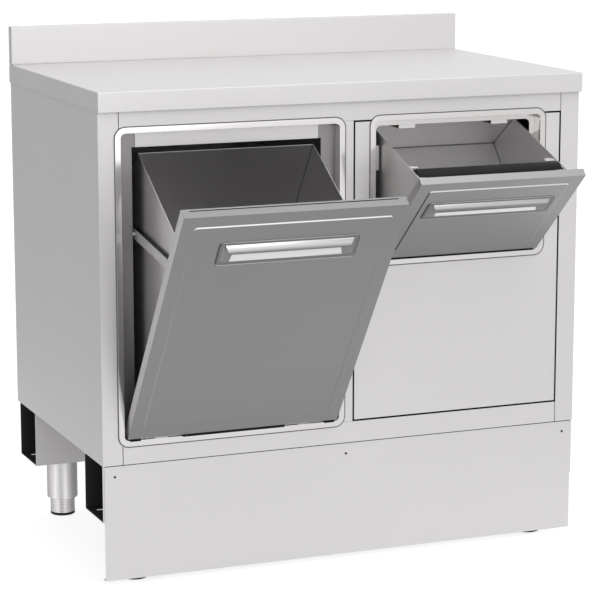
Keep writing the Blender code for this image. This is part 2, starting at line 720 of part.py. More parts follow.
# Hinges
def build_hinge(prefix, side, opening, root, pivot):
    """Butt hinge in the gap under a door: the fixed leaf keeps the pin, the door leaf turns on it."""
    centre = side * (opening.door_width / 2 - HINGE_INSET - HINGE_WIDTH / 2)
    hand = "left" if side < 0 else "right"
    half = HINGE_WIDTH / 2
    tongue = KNUCKLE_LENGTH / 2
    plate_start = KNUCKLE_RADIUS + 2 * PIN_CLEARANCE
    origin = Vector((opening.middle + centre, AXIS_Y, opening.axis_z))

    low = -AXIS_DROP + SEAT
    fixed = box(f"{prefix}_fixed_leaf_{hand}", origin + Vector((-half, plate_start, low)),
                origin + Vector((half, FIXED_LEAF_DEPTH, low + LEAF_THICKNESS)), BRIGHT, root)
    arm = box(f"{prefix}_fixed_arm_{hand}", origin + Vector((-tongue, -PIN_RADIUS, low)),
              origin + Vector((tongue, plate_start + LEAF_THICKNESS, low + LEAF_THICKNESS)), None, root, CUTTERS)
    knuckle = rod(f"{prefix}_fixed_knuckle_{hand}", KNUCKLE_RADIUS, origin.x - tongue, origin.x + tongue,
                  origin.y, origin.z, None, root, CUTTERS)
    pin = rod(f"{prefix}_pin_{hand}", PIN_RADIUS, origin.x - half, origin.x + half,
              origin.y, origin.z, None, root, CUTTERS)
    for piece in (arm, knuckle, pin):
        combine(fixed, piece, "UNION")

    top = AXIS_DROP - SEAT
    moving = box(f"{prefix}_door_leaf_{hand}", (centre - half, plate_start, top - LEAF_THICKNESS),
                 (centre + half, DOOR_LEAF_DEPTH, top), BRIGHT, pivot)
    inner = tongue + PIN_CLEARANCE
    for label, start, stop in (("a", -half, -inner), ("b", inner, half)):
        ear = box(f"{prefix}_door_ear_{hand}_{label}", (centre + start, -PIN_RADIUS, top - LEAF_THICKNESS),
                  (centre + stop, plate_start + LEAF_THICKNESS, top), None, pivot, CUTTERS)
        barrel = rod(f"{prefix}_door_knuckle_{hand}_{label}", KNUCKLE_RADIUS, centre + start, centre + stop,
                     0, 0, None, pivot, CUTTERS)
        combine(moving, ear, "UNION")
        combine(moving, barrel, "UNION")
    bore = rod(f"{prefix}_bore_{hand}", PIN_RADIUS + PIN_CLEARANCE, centre - HINGE_WIDTH, centre + HINGE_WIDTH,
               0, 0, None, pivot, CUTTERS)
    combine(moving, bore, "DIFFERENCE")


# Boxes behind the doors
def build_tub(name, front, width, depth, back_lean, low, front_high, back_high, material, pivot):
    """Sheet tub behind a door, open at the top and the door, with a sloping rim and a leaning back."""
    bm = bmesh.new()
    bmesh.ops.create_cube(bm, size=1.0)
    for vert in bm.verts:
        back = vert.co.y > 0
        high = back_high if back else front_high
        vert.co.x *= width
        foot = back_lean if vert.co.z < 0 else 0
        vert.co.y = front + depth + foot if back else front
        vert.co.z = high if vert.co.z > 0 else low
    bm.normal_update()
    opened = [face for face in bm.faces if face.normal.z > 0.5 or face.normal.y < -0.5]
    bmesh.ops.delete(bm, geom=opened, context="FACES")
    obj = place(name, bm, material, pivot)
    solidify(obj, SHEET)
    return obj


def build_hopper(pivot):
    width = BIN.clear_width - 2 * HOPPER_SIDE_CLEARANCE
    back_y = BIN.tub_front + HOPPER_DEPTH
    back_high = math.sqrt((BIN.clear_top - HOPPER_SWING_CLEARANCE) ** 2 - back_y ** 2)
    build_tub("bin_hopper", BIN.tub_front, width, HOPPER_DEPTH, 0, AXIS_DROP + HOPPER_FLOOR_RISE,
              back_high + HOPPER_FRONT_RISE, back_high, DARK_STEEL, pivot)

    pin_open_y = FRAME_BACK - AXIS_Y + SEAT + STOP_PIN_RADIUS
    pin_y, pin_z = BIN.shut(pin_open_y, STOP_PIN_HEIGHT)
    front = Vector((0, BIN.tub_front + RAIL_HEIGHT / 2, RAIL_FRONT_HEIGHT))
    run = Vector((0, pin_y, pin_z)) - front
    angle = math.atan2(run.z, run.y)
    length = run.length + STOP_PIN_END
    for name, hand in (("bin_side_rail_left", -1), ("bin_side_rail_right", 1)):
        inner = width / 2 + SEAT
        middle_x = hand * (inner + RAIL_THICKNESS / 2)
        rail = box(name, (-RAIL_THICKNESS / 2, 0, -RAIL_HEIGHT / 2), (RAIL_THICKNESS / 2, length, RAIL_HEIGHT / 2),
                   SATIN, pivot)
        rail.data.transform(Matrix.Translation((0, length / 2, 0)))
        rail.location = (middle_x, front.y, front.z)
        rail.rotation_euler.x = angle
        outer = hand * (inner + RAIL_THICKNESS + STOP_PIN_LENGTH)
        stop_pin = rod(name + "_stop_pin", STOP_PIN_RADIUS, min(middle_x, outer), max(middle_x, outer),
                       pin_y, pin_z, None, pivot, CUTTERS)
        combine(rail, stop_pin, "UNION")


def build_drawer_box(pivot):
    width = DRAWER.clear_width - 2 * BOX_SIDE_CLEARANCE
    front_high = DRAWER.clear_top - BOX_SWING_CLEARANCE - STOP_TAB_DROP
    back_high = BOX_BACK_HEIGHT + AXIS_DROP
    build_tub("drawer_box", DRAWER.tub_front, width, BOX_DEPTH, BOX_BACK_LEAN, AXIS_DROP + BOX_FLOOR_RISE,
              front_high, back_high, DARK_STEEL, pivot)

    rim_slope = math.atan2(back_high - front_high, BOX_DEPTH)
    bar_y = DRAWER.tub_front + BAR_SETBACK
    bar_z = front_high + BAR_SETBACK * math.tan(rim_slope) - BAR_DROP / math.cos(rim_slope)
    wall = width / 2 - SHEET - SEAT
    bracket_inner = wall - BAR_BRACKET_THICKNESS
    rod("knock_bar_core", BAR_CORE_RADIUS, -wall, wall, bar_y, bar_z, BRIGHT, pivot, steps=TURN_STEPS)

    sleeve_half = bracket_inner - SEAT
    hole_radius = BAR_CORE_RADIUS + BAR_CORE_CLEARANCE
    profile = [(BAR_RADIUS, sleeve_half), (BAR_RADIUS, -sleeve_half),
               (hole_radius, -sleeve_half), (hole_radius, sleeve_half)]
    sleeve = turned("knock_bar_sleeve", profile, RUBBER, pivot, (0, bar_y, bar_z))
    sleeve.rotation_euler.y = math.pi / 2

    below = BAR_BRACKET_HEIGHT - BAR_BRACKET_RISE
    reach = BAR_SETBACK - BAR_BRACKET_DOOR_GAP + below * math.sin(rim_slope)
    length = 2 * reach / math.cos(rim_slope)
    for name, hand in (("knock_bar_bracket_left", -1), ("knock_bar_bracket_right", 1)):
        middle_x = hand * (wall - BAR_BRACKET_THICKNESS / 2)
        size = Vector((BAR_BRACKET_THICKNESS, length, BAR_BRACKET_HEIGHT))
        bracket = box(name, -size / 2, size / 2, BRIGHT, pivot)
        rise = Vector((0, 0, BAR_BRACKET_RISE - BAR_BRACKET_HEIGHT / 2))
        bracket.data.transform(Matrix.Translation(rise))
        bracket.location = (middle_x, bar_y, bar_z)
        bracket.rotation_euler.x = rim_slope
        hole = rod(name + "_hole", hole_radius, middle_x - BAR_RADIUS, middle_x + BAR_RADIUS,
                   bar_y, bar_z, None, pivot, CUTTERS, TURN_STEPS)
        combine(bracket, hole, "DIFFERENCE")


# Base
def build_channel(name, front, root):
    """Folded channel under the carcass, open at both ends, with a slot near each end of its bottom."""
    back = front + CHANNEL_DEPTH
    top = CARCASS_BOTTOM - SEAT
    path = [(front, top), (front, CHANNEL_BOTTOM), (back, CHANNEL_BOTTOM), (back, top)]
    channel = folded_sheet(name, path, "X", -SIDE, SIDE, (0, 1, 0), SATIN, root, HEAVY_SHEET)
    for label, hand in (("left", -1), ("right", 1)):
        centre = hand * (SIDE - SLOT_END_DISTANCE)
        slot_y = back - SLOT_END_DISTANCE
        slot = box(f"{name}_slot_{label}",
                   (centre - SLOT_LENGTH / 2, slot_y - SLOT_WIDTH / 2, CHANNEL_BOTTOM - HEAVY_SHEET),
                   (centre + SLOT_LENGTH / 2, slot_y + SLOT_WIDTH / 2, CHANNEL_BOTTOM + 2 * HEAVY_SHEET),
                   None, root, CUTTERS)
        combine(channel, slot, "DIFFERENCE")


def build_leg(label, x, y, root):
    """Tube leg closed at the top, with a collar in its mouth that guides the adjustable foot."""
    top = CHANNEL_BOTTOM - SEAT
    collar_radius = FOOT_RADIUS + FOOT_CLEARANCE
    bore = LEG_RADIUS - LEG_WALL
    profile = [
        (0, top), (LEG_RADIUS, top), (LEG_RADIUS, LEG_BOTTOM + LEG_CHAMFER),
        (LEG_RADIUS - LEG_CHAMFER, LEG_BOTTOM), (collar_radius, LEG_BOTTOM),
        (collar_radius, LEG_BOTTOM + LEG_COLLAR), (bore, LEG_BOTTOM + LEG_COLLAR),
        (bore, top - LEG_WALL), (0, top - LEG_WALL),
    ]
    turned(f"leg_{label}", profile, SATIN, root, (x, y, 0))

    screw_axis = empty(f"foot_{label}_axis", root, (x, y, 0))
    foot_top = top - LEG_WALL - SEAT
    inner = FOOT_RADIUS - FOOT_WALL
    foot_low = PAD_HEIGHT + SEAT
    foot_profile = [
        (FOOT_RADIUS, foot_top), (FOOT_RADIUS, foot_low), (0, foot_low),
        (0, foot_low + FOOT_WALL), (inner, foot_low + FOOT_WALL), (inner, foot_top),
    ]
    turned_foot(f"foot_{label}", foot_profile, screw_axis)
    pad_profile = [
        (0, PAD_HEIGHT), (FOOT_RADIUS, PAD_HEIGHT), (FOOT_RADIUS, PAD_ROUNDING),
        (FOOT_RADIUS - PAD_ROUNDING, 0), (0, 0),
    ]
    turned(f"foot_pad_{label}", pad_profile, RUBBER, screw_axis, (0, 0, 0))


def turned_foot(name, profile, parent):
    """Hollow foot: the profile starts and ends off the axis and touches it in between."""
    bm = bmesh.new()
    verts = [bm.verts.new((radius, 0, z)) for radius, z in profile]
    loop = verts + verts[:1]
    for first, second in zip(loop, loop[1:]):
        on_axis = first.co.x == 0 and second.co.x == 0
        if not on_axis:
            bm.edges.new((first, second))
    obj = place(name, bm, SATIN, parent)
    screw = obj.modifiers.new("turn", "SCREW")
    screw.steps = TURN_STEPS
    screw.render_steps = TURN_STEPS
    screw.use_merge_vertices = True
    screw.merge_threshold = 0.00001
    screw.use_smooth_shade = True


def build_base(root):
    build_channel("front_base_channel", FRONT_CHANNEL_FRONT, root)
    build_channel("rear_base_channel", REAR_CHANNEL_FRONT, root)
    front_y = FRONT_CHANNEL_FRONT + CHANNEL_DEPTH / 2 - LEG_OUTSET
    rear_y = REAR_CHANNEL_FRONT + CHANNEL_DEPTH / 2 + LEG_OUTSET
    build_leg("front_left", -LEG_X, front_y, root)
    build_leg("front_right", LEG_X, front_y, root)
    build_leg("rear_left", -LEG_X, rear_y, root)
    build_leg("rear_right", LEG_X, rear_y, root)
    half = SIDE - PLINTH_END_INSET
    path = [
        (PLINTH_FRONT, CARCASS_BOTTOM - PLINTH_TOP_GAP),
        (PLINTH_FRONT, PLINTH_BOTTOM),
        (PLINTH_FRONT + PLINTH_HEM, PLINTH_BOTTOM),
    ]
    folded_sheet("plinth", path, "X", -half, half, (0, 1, 0), SATIN, root)


def build_counter():
    root = empty("counter_origin", location=(0, -(front_reach() + BACK) / 2, 0))
    build_worktop(root)
    build_backsplash(root)
    build_side_panel("left_side_panel", -1, root)
    build_side_panel("right_side_panel", 1, root)
    build_rails(root)
    build_inner_walls(root)
    build_right_panel(root)
    build_ring("bin_opening_ring", BIN, root)
    build_inner_frame("bin_inner_frame", BIN, SHEET, SATIN, root)
    build_bin_top_bar(root)
    build_ring("drawer_opening_ring", DRAWER, root)
    build_inner_frame("drawer_inner_frame", DRAWER, DRAWER_FLANGE_RADIUS, BRIGHT, root)
    build_stop_tabs(root)
    for prefix, opening in (("bin_door", BIN), ("drawer_front", DRAWER)):
        pivot = empty(prefix + "_pivot", root, (opening.middle, AXIS_Y, opening.axis_z), opening.tilt)
        build_door(prefix, opening, pivot)
        build_handle(prefix, opening, pivot)
        for side in (-1, 1):
            build_hinge(prefix, side, opening, root, pivot)
        if opening is BIN:
            build_bin_back(pivot)
            build_hopper(pivot)
        else:
            build_drawer_back(pivot)
            build_drawer_box(pivot)
    build_base(root)


build_counter()
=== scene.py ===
"""Dresses the coffee station counter in satin and bright stainless, black rubber and a pale studio."""
import math
from collections import namedtuple

import bpy
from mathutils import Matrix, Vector


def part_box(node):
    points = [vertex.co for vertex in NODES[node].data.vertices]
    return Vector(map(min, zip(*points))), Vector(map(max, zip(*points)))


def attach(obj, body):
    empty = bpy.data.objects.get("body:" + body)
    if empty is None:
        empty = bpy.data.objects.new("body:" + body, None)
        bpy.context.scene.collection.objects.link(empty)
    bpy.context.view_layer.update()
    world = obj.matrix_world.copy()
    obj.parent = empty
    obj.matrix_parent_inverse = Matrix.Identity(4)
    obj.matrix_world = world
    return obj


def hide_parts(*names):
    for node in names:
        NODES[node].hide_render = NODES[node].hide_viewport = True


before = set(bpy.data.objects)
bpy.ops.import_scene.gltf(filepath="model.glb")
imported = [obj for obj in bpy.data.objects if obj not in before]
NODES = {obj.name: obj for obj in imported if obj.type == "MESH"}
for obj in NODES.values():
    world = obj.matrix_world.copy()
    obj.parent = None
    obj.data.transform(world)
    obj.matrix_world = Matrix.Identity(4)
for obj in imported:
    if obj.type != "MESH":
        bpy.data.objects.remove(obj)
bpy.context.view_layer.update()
MM = 0.001
HANDS = ("left", "right")
CORNERS = ("front_left", "front_right", "rear_left", "rear_right")

# Camera fitted to the photograph: it looks down without a shift, where the real one was level and shifted
CAMERA_PLACE = (-1.8157, -4.3426, 1.4033)
CAMERA_YAW = math.radians(22.179)
CAMERA_PITCH = math.radians(10.921)
CAMERA_LENS = 145.22
CAMERA_SENSOR = 36.0

# The doors: the body each rides on, its hinge axis, how far it leans when open, and its height over the axis
Door = namedtuple("Door", "body axis tilt top")
BIN = Door("waste_bin", (-235.25 * MM, -127.04 * MM, 283.7 * MM), math.radians(35.0), 575.6 * MM)
DRAWER = Door("knock_drawer", (235.25 * MM, -127.04 * MM, 595.7 * MM), math.radians(49.0), 263.6 * MM)

# Handle cups, measured down from a door's top edge and inward from its hinge axis
CUP_DROP = 66.5 * MM
CUP_HEIGHT = 52.0 * MM
CUP_HALF_WIDTH = 132.5 * MM
CUP_LIP = 4.0 * MM
CUP_LOWER_LIP = 6.5 * MM
CUP_LOWER_SLOPE = 15.5 * MM
CUP_FRONT = -6.8 * MM
# Half widths of the cup's painted highlight, at the foot and the head of its lower slope
CUP_HIGHLIGHT_FOOT = 108.5 * MM
CUP_HIGHLIGHT_HEAD = 104.5 * MM

# Edges of folded sheet, as rounding
SHEET_ROUNDING = 0.4 * MM
WORKTOP_ROUNDING = 0.8 * MM
FOLD_ANGLE = math.radians(35)

# Tones that the paints and finishes share; the edge and cup highlights are painted light, the channel's
# inside painted shade
CARCASS = "#dad8d8"
EDGE_HIGHLIGHT = "#e4e2e2"
CUP_HIGHLIGHT = "#f0eeee"
CHANNEL_INSIDE = "#383737"


# Colours and nodes
def linear(hex_colour):
    """Linear RGBA of an sRGB hex colour."""
    channels = [int(hex_colour[i:i + 2], 16) / 255 for i in (1, 3, 5)]
    bent = [c / 12.92 if c <= 0.04045 else ((c + 0.055) / 1.055) ** 2.4 for c in channels]
    return (*bent, 1.0)


def add(tree, kind, inputs=(), **settings):
    """Adds a node, sets its properties, and fills its inputs with values or links."""
    made = tree.nodes.new(kind)
    for key, value in settings.items():
        setattr(made, key, value)
    for socket, value in dict(inputs).items():
        if isinstance(value, bpy.types.NodeSocket):
            tree.links.new(value, made.inputs[socket])
        else:
            made.inputs[socket].default_value = value
    return made


def new_material(name):
    """Material with an empty tree and an output."""
    material = bpy.data.materials.new(name)
    material.use_nodes = True
    tree = material.node_tree
    tree.nodes.clear()
    return material, tree, tree.nodes.new("ShaderNodeOutputMaterial")


# Steel finishes
def satin_stainless(name, tone, roughness, along, contrast=0.012, streak_width=2.2 * MM, bump=0.01,
                    metal=1.0):
    """Stainless sheet, belt ground: long faint streaks along one axis that soften what it mirrors.

    A grinding belt leaves scratches 0.1 mm wide; they are drawn 2.2 mm wide here so that they show at all.
    A second, broad noise makes the gloss uneven, as on sheet that has been wiped.
    The tone is a colour, or a paint(tree, place) where the colour differs over one piece.
    """
    streak_length = 160 * MM
    wipe_width = 180 * MM
    scratch_depth = 0.2 * MM
    gloss_spread = 0.03
    material, tree, output = new_material(name)
    scales = [1 / streak_width] * 3
    scales["XYZ".index(along)] = 1 / streak_length
    place = add(tree, "ShaderNodeTexCoord")
    stretched = add(tree, "ShaderNodeMapping", {"Vector": place.outputs["Object"], "Scale": scales})
    streaks = add(tree, "ShaderNodeTexNoise", {"Vector": stretched.outputs[0], "Scale": 1.0, "Detail": 3.0,
                                               "Roughness": 0.6})
    wiping = add(tree, "ShaderNodeTexNoise", {"Vector": place.outputs["Object"], "Scale": 1 / wipe_width,
                                              "Detail": 2.0})
    depth = add(tree, "ShaderNodeMapRange", {"Value": streaks.outputs[0], "From Min": 0.3, "From Max": 0.7,
                                             "To Min": 1 - contrast, "To Max": 1 + contrast})
    plain = linear(tone)[:3] if isinstance(tone, str) else tone(tree, place)
    colour = add(tree, "ShaderNodeVectorMath", {0: plain, "Scale": depth.outputs[0]}, operation="SCALE")
    uneven = add(tree, "ShaderNodeMath", {0: streaks.outputs[0], 1: wiping.outputs[0]}, operation="ADD")
    gloss = add(tree, "ShaderNodeMapRange", {"Value": uneven.outputs[0], "From Min": 0.6, "From Max": 1.4,
                                             "To Min": roughness - gloss_spread,
                                             "To Max": roughness + gloss_spread})
    grain = add(tree, "ShaderNodeBump", {"Height": streaks.outputs[0], "Strength": bump,
                                         "Distance": scratch_depth})
    surface = add(tree, "ShaderNodeBsdfPrincipled", {"Base Color": colour.outputs[0], "Metallic": metal,
                                                     "Roughness": gloss.outputs[0],
                                                     "Normal": grain.outputs[0]})
    tree.links.new(surface.outputs[0], output.inputs["Surface"])
    return material


def door_up(door):
    """Direction up along an open door's face."""
    return Vector((0, -math.sin(door.tilt), math.cos(door.tilt)))


def by_direction(direction, stops):
    """Paint of light and shade that follows how a surface lies to a direction, from -1 facing away to +1
    facing it.
    """
    def paint(tree, place):
        lie = add(tree, "ShaderNodeVectorMath", {0: place.outputs["Normal"],
                                                 1: Vector(direction).normalized()}, operation="DOT_PRODUCT")
        share = add(tree, "ShaderNodeMapRange", {"Value": lie.outputs["Value"], "From Min": -1.0})
        ramp = add(tree, "ShaderNodeValToRGB", {"Fac": share.outputs[0]})
        marks = ramp.color_ramp.elements
        for mark, (at, tone) in ((marks[0], stops[0]), (marks[1], stops[-1])):
            mark.position = (at + 1) / 2
            mark.color = linear(tone)
        for at, tone in stops[1:-1]:
            marks.new((at + 1) / 2).color = linear(tone)
        return ramp.outputs["Color"]
    return paint


def pressed_relief(door, sideways, low, face, high, edge):
    """Paint for an open door: flat faces in painted dark reflection, pressed edges with a painted highlight
    where they look up.
    """
    return by_direction(door_up(door) + Vector((sideways, 0, 0)), [
        *low, (-0.06, face), (0.06, face), *high, (0.75, EDGE_HIGHLIGHT), (0.87, edge), (1.0, edge)])


def rolled_lip(door, low, middle, high, top):
    """Paint for a grip: painted highlight on the roll's top and painted shade underneath."""
    return by_direction(door_up(door), [
        (-1.0, "#505050"), (-0.3, "#5a5959"), (-0.15, low), (0.07, middle), (0.25, high), (0.48, top),
        (1.0, top)])


def from_hinge(tree, place, door):
    """Adds the place as seen from a door's hinge axis, and its distance sideways from the door's middle."""
    centred = add(tree, "ShaderNodeVectorMath", {0: place.outputs["Object"], 1: Vector(door.axis)},
                  operation="SUBTRACT")
    parts = add(tree, "ShaderNodeSeparateXYZ", {0: centred.outputs[0]})
    sideways = add(tree, "ShaderNodeMath", {0: parts.outputs["X"]}, operation="ABSOLUTE")
    return centred.outputs[0], sideways.outputs[0]


def cup_painted_highlight(door, face, lip):
    """Paint for a handle cup: a painted highlight on the middle of its lower slope, and a darker lip."""
    up = door_up(door)
    inward = Vector((0, math.cos(door.tilt), math.sin(door.tilt)))
    slope_low = door.top - CUP_DROP - CUP_HEIGHT + CUP_LOWER_LIP
    lip_back = CUP_FRONT + 0.2 * MM

    def paint(tree, place):
        lie = add(tree, "ShaderNodeVectorMath", {0: place.outputs["Normal"], 1: up}, operation="DOT_PRODUCT")
        turned_up = add(tree, "ShaderNodeMapRange", {"Value": lie.outputs["Value"], "From Min": 0.08,
                                                     "From Max": 0.16})
        centred, sideways = from_hinge(tree, place, door)
        height = add(tree, "ShaderNodeVectorMath", {0: centred, 1: up}, operation="DOT_PRODUCT")
        reach = add(tree, "ShaderNodeMapRange", {"Value": height.outputs["Value"], "From Min": slope_low,
                                                 "From Max": slope_low + CUP_LOWER_SLOPE,
                                                 "To Min": CUP_HIGHLIGHT_FOOT, "To Max": CUP_HIGHLIGHT_HEAD})
        middle = add(tree, "ShaderNodeMath", {0: sideways, 1: reach.outputs[0]}, operation="LESS_THAN")
        highlight_share = add(tree, "ShaderNodeMath", {0: turned_up.outputs[0], 1: middle.outputs[0]},
                       operation="MULTIPLY")
        cup = add(tree, "ShaderNodeMix", {"Factor": highlight_share.outputs[0], "A": linear(face),
                                          "B": linear(CUP_HIGHLIGHT)}, data_type="RGBA")
        depth = add(tree, "ShaderNodeVectorMath", {0: centred, 1: inward}, operation="DOT_PRODUCT")
        front = add(tree, "ShaderNodeMath", {0: depth.outputs["Value"], 1: lip_back}, operation="LESS_THAN")
        return add(tree, "ShaderNodeMix", {"Factor": front.outputs[0], "A": cup.outputs["Result"],
                                           "B": linear(lip)}, data_type="RGBA").outputs["Result"]
    return paint


def cup_edge(door):
    """Paint for the rolled edge of a handle cup: a painted highlight along its top and bottom, painted shade
    at its ends.
    """
    dark_end = 4 * MM

    def paint(tree, place):
        sideways = from_hinge(tree, place, door)[1]
        end = add(tree, "ShaderNodeMapRange", {"Value": sideways, "From Min": CUP_HALF_WIDTH - dark_end,
                                               "From Max": CUP_HALF_WIDTH})
        return add(tree, "ShaderNodeMix", {"Factor": end.outputs[0], "A": linear("#b4b2b2"),
                                           "B": linear("#5c5b5b")}, data_type="RGBA").outputs["Result"]
    return paint


def dark_inside(node_name):
    """Paint for a base channel: dark inside, where the photograph has deep shade."""
    low, high = (Vector(corner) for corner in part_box(node_name))
    wall = 1.5 * MM
    reach = (high - low) / 2 - Vector((0, wall, wall))

    def paint(tree, place):
        centred = add(tree, "ShaderNodeVectorMath", {0: place.outputs["Object"], 1: (low + high) / 2},
                      operation="SUBTRACT")
        spread = add(tree, "ShaderNodeVectorMath", {0: centred.outputs[0]}, operation="ABSOLUTE")
        past = add(tree, "ShaderNodeVectorMath", {0: spread.outputs[0], 1: reach}, operation="SUBTRACT")
        parts = add(tree, "ShaderNodeSeparateXYZ", {0: past.outputs[0]})
        outermost = add(tree, "ShaderNodeMath", {0: parts.outputs["Y"], 1: parts.outputs["Z"]},
                        operation="MAXIMUM")
        inside = add(tree, "ShaderNodeMath", {0: outermost.outputs[0], 1: 0.0}, operation="LESS_THAN")
        return add(tree, "ShaderNodeMix", {"Factor": inside.outputs[0], "A": linear(CARCASS),
                                           "B": linear(CHANNEL_INSIDE)}, data_type="RGBA").outputs["Result"]
    return paint


def painted_fold_shade(tone, fold_shade_tone):
    """Paint for a tub: a line of painted shade in its inner folds."""
    fold_reach = 4 * MM

    def paint(tree, place):
        nearness = add(tree, "ShaderNodeAmbientOcclusion", {"Distance": fold_reach}, samples=8)
        fold = add(tree, "ShaderNodeMapRange", {"Value": nearness.outputs["AO"], "From Min": 0.55,
                                                "From Max": 0.9, "To Min": 1.0, "To Max": 0.0})
        return add(tree, "ShaderNodeMix", {"Factor": fold.outputs[0], "A": linear(tone),
                                           "B": linear(fold_shade_tone)}, data_type="RGBA").outputs["Result"]
    return paint


# Other finishes
def moulded_rubber(name, dark, light, roughness):
    """Moulded rubber: matt, with a pebbled skin from the mould and a little grey bloom.

    The skin's pebbles are finer than the render can show, so they are drawn 3 mm wide.
    """
    pebble_width = 3 * MM
    bloom_width = 60 * MM
    pebble_depth = 0.3 * MM
    gloss_spread = 0.08
    material, tree, output = new_material(name)
    place = add(tree, "ShaderNodeTexCoord")
    pebble = add(tree, "ShaderNodeTexNoise", {"Vector": place.outputs["Object"], "Scale": 1 / pebble_width,
                                              "Detail": 4.0})
    bloom = add(tree, "ShaderNodeTexNoise", {"Vector": place.outputs["Object"], "Scale": 1 / bloom_width,
                                             "Detail": 3.0})
    tone = add(tree, "ShaderNodeMix", {"Factor": bloom.outputs[0], "A": linear(dark), "B": linear(light)},
               data_type="RGBA")
    gloss = add(tree, "ShaderNodeMapRange", {"Value": pebble.outputs[0], "To Min": roughness - gloss_spread,
                                             "To Max": roughness + gloss_spread})
    skin = add(tree, "ShaderNodeBump", {"Height": pebble.outputs[0], "Strength": 0.15,
                                        "Distance": pebble_depth})
    surface = add(tree, "ShaderNodeBsdfPrincipled", {"Base Color": tone.outputs["Result"],
                                                     "Roughness": gloss.outputs[0],
                                                     "Specular IOR Level": 0.2, "Normal": skin.outputs[0]})
    tree.links.new(surface.outputs[0], output.inputs["Surface"])
    return material


def pressed_board(name):
    """Raw pressed board under the worktop: flecked brown chips, quite matt."""
    chip_width = 9 * MM
    material, tree, output = new_material(name)
    place = add(tree, "ShaderNodeTexCoord")
    chips = add(tree, "ShaderNodeTexVoronoi", {"Vector": place.outputs["Object"], "Scale": 1 / chip_width})
    tone = add(tree, "ShaderNodeMix", {"Factor": chips.outputs["Distance"], "A": linear("#8a6a48"),
                                       "B": linear("#b8946a")}, data_type="RGBA")
    rough = add(tree, "ShaderNodeMapRange", {"Value": chips.outputs["Distance"], "To Min": 0.7,
                                             "To Max": 0.9})
    surface = add(tree, "ShaderNodeBsdfPrincipled", {"Base Color": tone.outputs["Result"],
                                                     "Roughness": rough.outputs[0]})
    tree.links.new(surface.outputs[0], output.inputs["Surface"])
    return material


# Carcass sheet is ground across or upright, and mirrors only broad light and shade.
SATIN_ACROSS = satin_stainless("satin_stainless_ground_across", CARCASS, 0.44, "X", metal=0.5)
SATIN_UPRIGHT = satin_stainless("satin_stainless_ground_upright", CARCASS, 0.44, "Z", metal=0.5)
# Bezels, hinges and brackets come bright from the mill and mirror the room clearly.
BRIGHT = satin_stainless("bright_stainless_trim", "#e0dedd", 0.14, "X", contrast=0.01, bump=0.003, metal=0.8)
# Sheet in the openings is ground with a finer belt; the inner frame is toned down as painted shade.
TOP_BAR = satin_stainless("satin_stainless_top_bar", "#cccaca", 0.40, "X")
FLANGE = satin_stainless("satin_stainless_inner_frame", "#908e8e", 0.40, "Z")
# The hopper and the drawer box carry a line of painted shade in their inner folds.
HOPPER = satin_stainless("satin_stainless_hopper", painted_fold_shade("#e2e0e0", "#a2a0a0"), 0.36, "Z")
BOX = satin_stainless("satin_stainless_drawer_box", painted_fold_shade("#dcdada", "#7e7d7d"), 0.40, "Z", metal=0.75)
# The doors are ground and pressed; dark faces are painted reflection, up-facing edges painted highlight,
# down-facing edges painted shade.
BIN_STEEL = satin_stainless("satin_stainless_bin_door", pressed_relief(
    BIN, -0.2, [(-1.0, "#8a8888"), (-0.75, "#8a8989"), (-0.3, "#8a8989"), (-0.2, "#a8a6a6"),
                (-0.12, "#929191")],
    "#8a8989", [(0.12, "#989797"), (0.2, "#d8d6d6"), (0.32, EDGE_HIGHLIGHT)], "#999898"), 0.40, "X")
# On the drawer front, the return that faces left is painted light.
DRAWER_STEEL = satin_stainless("satin_stainless_drawer_front", pressed_relief(
    DRAWER, 0.5, [(-1.0, "#a8a6a6"), (-0.40, "#dcdada"), (-0.36, "#5c5b5b"), (-0.22, "#5c5b5b")],
    "#949393", [(0.3, EDGE_HIGHLIGHT)], "#9a9999"), 0.40, "X")
# Handle cups are pressed and rolled over at the edge, and grips are polished; light and dark on them are
# painted highlight and shade.
BIN_CUP = satin_stainless("satin_stainless_bin_cup", cup_painted_highlight(
    BIN, "#8c8b8b", "#7a7979"), 0.34, "X", metal=0.6)
DRAWER_CUP = satin_stainless("satin_stainless_drawer_cup", cup_painted_highlight(
    DRAWER, "#8c8b8b", "#7a7979"), 0.34, "X", metal=0.6)
BIN_CUP_EDGE = satin_stainless("rolled_stainless_bin_cup_edge", cup_edge(BIN), 0.34, "X")
DRAWER_CUP_EDGE = satin_stainless("rolled_stainless_drawer_cup_edge", cup_edge(DRAWER), 0.34, "X")
BIN_GRIP = satin_stainless("polished_stainless_bin_grip", rolled_lip(
    BIN, "#6e6d6d", "#a6a4a4", "#cecccc", "#dcdada"), 0.24, "X", contrast=0.01)
DRAWER_GRIP = satin_stainless("polished_stainless_drawer_grip", rolled_lip(
    DRAWER, "#727171", "#7a7979", "#868585", "#cccaca"), 0.24, "X", contrast=0.01)
# The bin's rails are ground lengthwise; their dark upper faces are painted shade, as the photograph has them.
RAIL_STEEL = satin_stainless("satin_stainless_bin_rail", by_direction(
    (0, 0, 1), [(-1.0, CARCASS), (0.4, CARCASS), (0.8, "#161515"), (1.0, "#161515")]), 0.44, "Y", metal=0.5)
# The base channels are folded from ground sheet, and their dark inside is painted shade.
FRONT_CHANNEL = satin_stainless("satin_stainless_front_channel", dark_inside("front_base_channel"), 0.44, "X",
                                metal=0.5)
REAR_CHANNEL = satin_stainless("satin_stainless_rear_channel", dark_inside("rear_base_channel"), 0.44, "X",
                               metal=0.5)
# Tube is drawn through a die; its light and dark bands are painted reflection, and its streaks are drawn 9 mm
# wide.
DRAWN_TUBE = satin_stainless("drawn_stainless_tube", by_direction(
    (0.926, -0.377, 0), [(-1.0, "#747373"), (-0.7, "#c4c2c2"), (-0.35, "#f6f4f4"), (0.0, "#bebcbc"),
                         (0.3, "#eeecec"), (0.7, "#9a9898"), (1.0, "#646363")]),
    0.30, "Z", contrast=0.10, streak_width=9 * MM)
